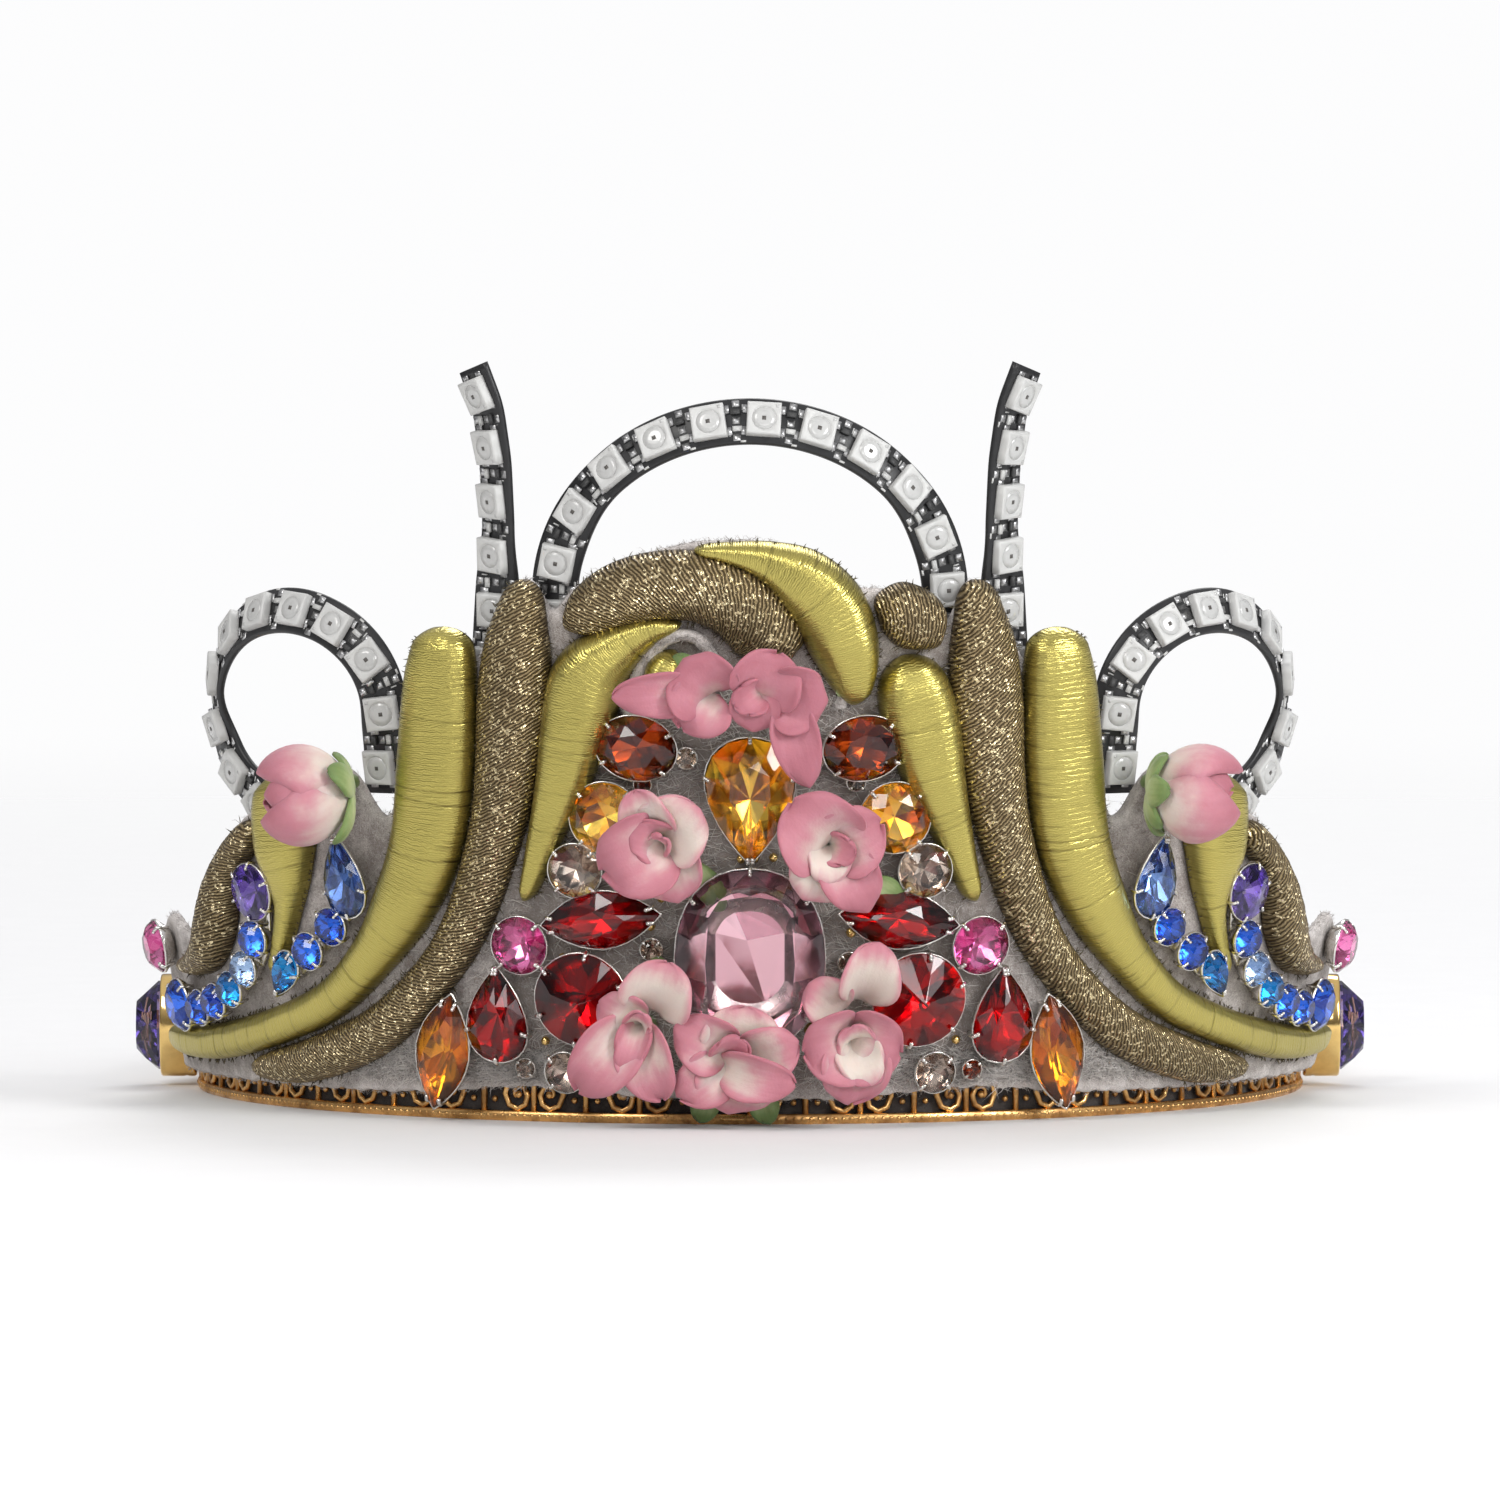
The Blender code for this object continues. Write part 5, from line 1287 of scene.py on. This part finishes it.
# Light strips
# Flexible black circuit strips with a square white light package every 8.2 mm, 120 to the metre, bent
# edgewise to an arch, two horns and two loops and sewn behind the felt. None of them is lit.
STRIP_WIDTH = 0.007
STRIP_WALL = 0.0011
LIGHT_SIZE = 0.005
LIGHT_HEIGHT = 0.0015
LIGHT_PITCH = 0.0082
LENS_RADIUS = 0.0019
STRIP_LEAN = math.radians(30)
STRIP_LEAN_RISE = 0.012
ARCH_HALF_WIDTH, ARCH_RISE = 0.0305, 0.0265
ARCH_CENTRE_HEIGHT, ARCH_FOOT_HEIGHT, ARCH_HIDDEN = 0.079, 0.064, 0.086
LOOP_TURN = 46.3
LOOP_HALF_WIDTH, LOOP_RISE = 0.0195, 0.015
LOOP_CENTRE_HEIGHT, LOOP_HIDDEN = 0.0615, 0.054
LOOP_START, LOOP_STOP = 175, -62
LOOP_INNER_TAIL = np.array((0, 0.014))
LOOP_OUTER_TAIL = np.array((0.005, 0.009))
HORN_HIDDEN = 0.078
# Clear width from the arch's widest place in millimetres, and height.
HORN_PATH = ((6.1, 115), (3.3, 108), (2.15, 100), (1.75, 90), (2.35, 79), (3.2, 68), (3.5, 60))
# Share of the width and of the wall.
STRIP_PROFILE = np.array(((-0.5, 0.25), (-0.46, 0), (0.46, 0), (0.5, 0.25),
                          (0.5, 0.75), (0.46, 1), (-0.46, 1), (-0.5, 0.75)))
DISC = circle(16)
SQUARE = DISC / np.abs(DISC).max(1, keepdims=True) / 2
LIGHT_FACE = STRIP_WALL + LIGHT_HEIGHT
# A white body with a round well, its clear grey filling and its chip: slot, then the outline, size and
# level from the light's face of each ring.
LIGHT_BODIES = (
    (1, ((SQUARE, LIGHT_SIZE - 0.0001, -0.00005 - LIGHT_HEIGHT), (SQUARE, LIGHT_SIZE, 0.00015 - LIGHT_HEIGHT),
         (SQUARE, LIGHT_SIZE, -0.00025), (SQUARE, LIGHT_SIZE - 0.0002, -0.00005),
         (SQUARE, LIGHT_SIZE - 0.0006, 0), (DISC, LENS_RADIUS + 0.0001, 0),
         (DISC, LENS_RADIUS, -0.00008), (DISC, LENS_RADIUS - 0.00025, -0.0003))),
    (2, ((DISC, LENS_RADIUS - 0.0001, -0.00028), (DISC, LENS_RADIUS - 0.00012, -0.00016),
         (DISC, LENS_RADIUS * 0.5, -0.0001), (DISC, LENS_RADIUS * 0.15, -0.00009))),
    (3, ((SQUARE, 0.00062, -0.00012), (SQUARE, 0.00056, -0.00004))),
)
CORNER_MARK = ((SQUARE, 0.0005, -0.00005), (SQUARE, 0.0005, 0.00002))
MARK_PLACE = 0.0019
BLOCK_SINK = 0.0001
JOINT_X, JOINT_Y = 0.0017, LIGHT_SIZE / 2 + 0.00028
# Place on the strip, width, length, rise over the strip and slot of the light's four solder joints.
LIGHT_BLOCKS = tuple((x, y, 0.0012, 0.0008, 0.00016, 4)
                     for y in (-JOINT_Y, JOINT_Y) for x in (-JOINT_X, JOINT_X))
# The same for the solder pads, two small parts and printed ticks between two lights.
BETWEEN_BLOCKS = (
    (-0.0026, 0, 0.0010, 0.0011, 0.00010, 4), (0.0026, 0, 0.0010, 0.0011, 0.00010, 4),
    (0.0, 0, 0.0010, 0.0011, 0.00010, 4), (-0.0013, 0.0001, 0.0007, 0.0014, 0.00045, 1),
    (0.0013, -0.0001, 0.0007, 0.0014, 0.00045, 5), (-0.0032, 0.0009, 0.0003, 0.0008, 0.00004, 1),
    (0.0020, 0.0010, 0.0009, 0.00018, 0.00004, 1), (-0.0019, -0.0010, 0.0009, 0.00018, 0.00004, 1),
)


def arc_path(x, height, half_width, rise, start, stop):
    """Part of an ellipse round a place on the unrolled crest, from start to stop in degrees."""
    angle = np.radians(np.linspace(start, stop, 25))
    return np.stack((x + np.cos(angle) * half_width, height + np.sin(angle) * rise), 1)


def frame_at(x, height, proud):
    """The frame at a place along the crest in metres."""
    return crest_frame(math.degrees(x / crest_radius(height)), height, proud)


def strip_frames(path, hidden, sign):
    """Frames each eighth of a light's pitch along the strip's back: X across, Y along, Z out of its face."""
    length = np.concatenate(([0], np.cumsum(np.hypot(*np.diff(path, axis=0).T))))
    count = int(length[-1] / (LIGHT_PITCH / 2))
    start = (length[-1] - count * LIGHT_PITCH / 2) / 2
    places = start + np.arange(4 * count + 1) * LIGHT_PITCH / 8
    kernel = np.array((1, 2, 3, 2, 1)) / 9
    line = np.stack([np.interp(places, length, column) for column in path.T])
    padded = np.pad(line, ((0, 0), (2, 2)), mode="reflect", reflect_type="odd")
    smooth = np.stack([np.convolve(row, kernel, "valid") for row in padded], 1)
    onward = np.gradient(smooth, axis=0)
    onward /= np.linalg.norm(onward, axis=1)[:, None]
    frames = []
    for place, ahead in zip(smooth, onward):
        axes, origin = frame_at(sign * place[0], place[1], -GAP - LIGHT_FACE)
        along = axes[0] * sign * ahead[0] + axes[1] * ahead[1]
        aside = -axes[0] * sign * ahead[1] + axes[1] * ahead[0]
        share = np.clip((place[1] - hidden) / STRIP_LEAN_RISE, 0, 1)
        lean = STRIP_LEAN * share * share * (3 - 2 * share)
        across = sign * (aside * math.cos(lean) - axes[2] * math.sin(lean))
        face = axes[2] * math.cos(lean) + aside * math.sin(lean)
        frames.append((np.stack((across, along, face)), origin))
    return frames, count


def moved(frame, place):
    """The frame moved to a place in it."""
    return frame[0], placed(frame, place)


def add_rings(shape, frame, rings, slot):
    """A body through rings that each have an outline, its size and a level."""
    shape.loft(placed(frame, [ring_at(flat * size, level) for flat, size, level in rings]), slot=slot)


def add_blocks(shape, frame, blocks):
    for x, y, wide, long, rise, slot in blocks:
        add_rings(shape, moved(frame, (x, y, STRIP_WALL)),
                  ((SQUARE, (wide, long), -BLOCK_SINK), (SQUARE, (wide, long), rise)), slot)


def cloudy_dirt(n, given):
    """Clouds of fine dirt on moulded or coated plastic, which dull it too."""
    cloud = n.noise(n.place(), given["Scale"], 4)
    return {"Colour": n.mix(cloud, given["Clean"], given["Dirty"]),
            "Roughness": n.math("MULTIPLY_ADD", cloud, 0.25, given["Polish"]), "Height": cloud}


CLOUDY_DIRT = new_group(cloudy_dirt, ("Clean", "Dirty"), ("Polish", "Scale"))


def plastic_material(name, clean, dirty, polish, scale, coat=0.0):
    def look(n):
        dirt = n.group(CLOUDY_DIRT, Clean=clean, Dirty=dirty, Polish=polish, Scale=scale)
        return {"Coat Weight": coat, "Base Color": dirt["Colour"], "Roughness": dirt["Roughness"],
                "Normal": n.bump(dirt["Height"], 0.08)}
    return new_material(name, look)


strip_materials = [
    plastic_material("strip_black", (0.006, 0.006, 0.007), (0.02, 0.02, 0.021), 0.28, 900),
    plastic_material("package_white", (0.60, 0.60, 0.585), (0.51, 0.51, 0.495), 0.35, 700),
    plastic_material("package_filling", (0.55, 0.55, 0.535), (0.46, 0.46, 0.45), 0.12, 1200, 0.6),
    plastic_material("chip_dark", (0.05, 0.045, 0.04), (0.12, 0.11, 0.10), 0.3, 3000),
    metal_material("solder", (0.60, 0.60, 0.60), (0.25, 0.25, 0.25), 0.7, 0.3, 0.1),
    plastic_material("part_black", (0.03, 0.03, 0.03), (0.07, 0.07, 0.07), 0.4, 2500),
]
arch = arc_path(0, ARCH_CENTRE_HEIGHT, ARCH_HALF_WIDTH, ARCH_RISE, 180, 0)
arch = np.concatenate(([(arch[0, 0], ARCH_FOOT_HEIGHT)], arch, [(arch[-1, 0], ARCH_FOOT_HEIGHT)]))
horn = np.array([(ARCH_HALF_WIDTH + STRIP_WIDTH + clear * MM, height * MM) for clear, height in HORN_PATH])
loop = arc_path(along_crest(LOOP_TURN, LOOP_CENTRE_HEIGHT), LOOP_CENTRE_HEIGHT, LOOP_HALF_WIDTH, LOOP_RISE,
                LOOP_START, LOOP_STOP)
loop = np.concatenate((loop[:1] - LOOP_INNER_TAIL, loop, loop[-1:] - LOOP_OUTER_TAIL))
profile = np.insert(STRIP_PROFILE * (STRIP_WIDTH, STRIP_WALL), 1, 0, axis=1)
strip_lines = []
for name, path, hidden, sign in (
        ("strip_arch", arch, ARCH_HIDDEN, 1), ("strip_horn_left", horn, HORN_HIDDEN, -1),
        ("strip_horn_right", horn, HORN_HIDDEN, 1), ("strip_loop_left", loop, LOOP_HIDDEN, -1),
        ("strip_loop_right", loop, LOOP_HIDDEN, 1)):
    strip = Shape()
    frames, count = strip_frames(path, hidden, sign)
    strip_lines.append(frames)
    strip.loft([placed(frame, profile) for frame in frames])
    for light_frame in frames[4:4 * count:8]:
        for slot, rings in LIGHT_BODIES:
            add_rings(strip, moved(light_frame, (0, 0, LIGHT_FACE)), rings, slot)
        add_blocks(strip, light_frame, LIGHT_BLOCKS)
        add_rings(strip, moved(light_frame, (MARK_PLACE, MARK_PLACE, LIGHT_FACE)), CORNER_MARK, 2)
    for between_frame in frames[8:4 * (count - 1):8]:
        add_blocks(strip, between_frame, BETWEEN_BLOCKS)
    strip_piece = strip.build(f"{name}_lights", strip_materials, "light_strip")
    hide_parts(name)

# Green leaves and small fillers
# Short green leaves are tucked in beside the roses. Small clear crystals and gilt beads fill the gaps
# between the large stones, and fine wool fibres lie matted round them.
LEAF_PROUD = 0.0042
FIBRES = 15000
FELT_MARGIN = 0.0015
# Place along the crest and height in millimetres, direction in degrees, length, width.
GREEN_LEAVES = (
    (-6.0, 66.0, 128, 8.0, 5.6), (12.5, 66.4, 35, 5.0, 3.6), (-7.6, 40.6, 300, 7.5, 4.6),
    (17.0, 38.4, 325, 6.5, 5.0), (10.6, 22.4, 250, 6.0, 3.6), (-5.6, 6.6, 250, 5.5, 4.6),
    (1.4, 6.5, 285, 5.5, 4.8), (-12.0, 22.0, 110, 5.0, 3.6),
)
# Colour, place along the crest, height, size.
SMALL_CRYSTALS = (
    ("clear", -9.2, 56.6, 3.0), ("clear", 9.2, 56.4, 2.8), ("clear", 15.4, 53.0, 2.6),
    ("clear", -14.3, 27.6, 3.2), ("clear", 14.3, 25.6, 3.0), ("smoke", -15.6, 52.6, 2.4),
    ("smoke", 33.0, 9.0, 2.8), ("clear", -33.4, 9.2, 2.8),
)
# Place along the crest, height, proud, radius.
GILT_BEADS = (
    (8.9, 15.6, 4.6, 1.25), (-8.6, 16.6, 3.6, 0.9), (-14.6, 31.0, 3.0, 0.8), (14.8, 30.0, 3.0, 0.8),
    (0.6, 41.4, 3.0, 0.8), (-1.3, 41.2, 2.9, 0.7), (-20.4, 10.6, 3.0, 0.8), (21.0, 12.4, 3.0, 0.8),
    (-27.8, 26.0, 3.0, 0.7), (28.0, 24.6, 3.0, 0.7), (-30.6, 13.2, 2.9, 0.7), (30.8, 13.4, 2.9, 0.7),
    (-13.0, 35.2, 2.9, 0.7), (3.4, 41.4, 2.9, 0.7),
)
greenery = Shape()
for x, rise, points_to, length, width in GREEN_LEAVES:
    leaf_frame = turned_frame(frame_at(x * MM, rise * MM, LEAF_PROUD), (0, 0, 0), points_to)
    add_petal(greenery, leaf_frame, length, width, 50, 14, -30, 0.3, 0.35, point=0.5, columns=11, rows=11)
greenery.build("green_leaves", [leaf_green], "petal")

fillers = Shape()
for colour, x, rise, size in SMALL_CRYSTALS:
    add_set_stone(fillers, frame_at(x * MM, rise * MM, SEAT), "round", size, size, 1.5, 0.7,
                  {"clear": 2, "smoke": 4}[colour], prong=0.00022, columns=16)
for x, rise, proud, radius in GILT_BEADS:
    fillers.ball(crest_places(x * MM, rise * MM, proud * MM), radius * MM, 1)
fillers.build("small_fillers", [silver, gold, *GLASS["clear"], *GLASS["smoke"]], "clear_glass")

half = FIBRES // 2
x = np.concatenate((wool.normal(0, 0.024, half),
                    wool.choice((-1, 1), half) * wool.uniform(0.012, 0.070, half)))
height = np.concatenate((wool.uniform(0.0065, 0.070, half), wool.uniform(0.0065, 0.0115, half)))
height[half:] += 0.12 * np.maximum(0, 0.028 - np.abs(x[half:]))
bare = height < np.interp(np.degrees(x / crest_radius(height)), backing_turns, backing_top) - FELT_MARGIN
for _, _, _, turn, rise, width, length, lean, *_ in ALL_STONES:
    aside, above, lean = x - along_crest(turn, rise * MM), height - rise * MM, math.radians(lean)
    across = aside * math.cos(lean) + above * math.sin(lean)
    along = above * math.cos(lean) - aside * math.sin(lean)
    bare &= (across / (width / 2 * MM)) ** 2 + (along / (length / 2 * MM)) ** 2 > 0.95
x, height = x[bare], height[bare]
count = len(x)
fibres = Shape()
proud = wool.uniform(0.0019, 0.0022, count)
away = wool.normal(0, 1, count), wool.normal(0, 0.6, count).clip(-0.9, 1.2), wool.uniform(0.1, 0.6, count)
add_fuzz(fibres, x, height, proud, away, wool.uniform(0.001, 0.0032, count), 0.00006)
pale_wool = felt_material("pale_wool", (0.86, 0.82, 0.78), (0.56, 0.50, 0.46))
fibres.build("matted_fibre", [pale_wool], "felt")

# Sewing behind the crest
# Dark linen thread. Whip stitches hold the tails of the light strips, running stitches the leaves and
# small crosses the stones, all on the plain back of the felt.
THREAD_RADIUS = 0.00019
WHIP_REACH = 0.0045
FELT_BACK = GAP + LIGHT_FACE
# Across a strip, share of the slant, and level over the strip's back.
WHIP = ((-0.0043, -1, FELT_BACK), (-0.0039, -1, 0.0006), (-0.0033, -1, -0.00022), (0, 0, -0.00024),
        (0.0033, 1, -0.00022), (0.0039, 1, 0.0006), (0.0043, 1, FELT_BACK))
RUNNING_BOW = np.array((0.0002, -0.00008, -0.00016, -0.00008, 0.0002))
CROSS_BOW = np.array((0.0002, -0.00008, -0.0002, -0.00008, 0.0002))
CROSS_REACH = np.linspace(-1, 1, 5) * 0.0016
sewing = Shape()
for frames in strip_lines:
    for frame_here in frames[3:-2:4]:
        ends = placed(frame_here, ((-WHIP_REACH, 0, FELT_BACK), (WHIP_REACH, 0, FELT_BACK)))
        turns = np.degrees(np.arctan2(ends[:, 0], BAND_RADIUS - ends[:, 1]))
        felt_top = np.interp(turns, backing_turns, backing_top) - FELT_MARGIN
        if np.all(ends[:, 2] / math.cos(CREST_FLARE) <= felt_top):
            sewing.tube(placed(frame_here, np.array(WHIP) * (1, wool.normal(0, 0.0004), 1)), THREAD_RADIUS, 6)
for name, tip, breadth, rows in GOLD_LEAVES + BRONZE_LEAVES:
    turns, rises, _ = np.array(rows).T
    heights = rises * tip * MM
    line = smooth_rows(np.stack((along_crest(turns, heights), heights), 1), 0.0006)[1]
    # A stitch takes four steps of the line, and the next one starts nine steps on.
    for first in range(3, len(line) - 6, 9):
        sewing.tube(crest_places(*line[first:first + 5].T, RUNNING_BOW), THREAD_RADIUS, 6)
for _, _, _, turn, rise, *_ in ALL_STONES:
    for slant, deeper in ((0.8, 0.0002), (-0.8, 0)):
        sewing.tube(crest_places(along_crest(turn, rise * MM) + CROSS_REACH, rise * MM + CROSS_REACH * slant,
                                 CROSS_BOW - deeper), THREAD_RADIUS, 6)
sewing.build("back_sewing", [sewing_thread], "felt")
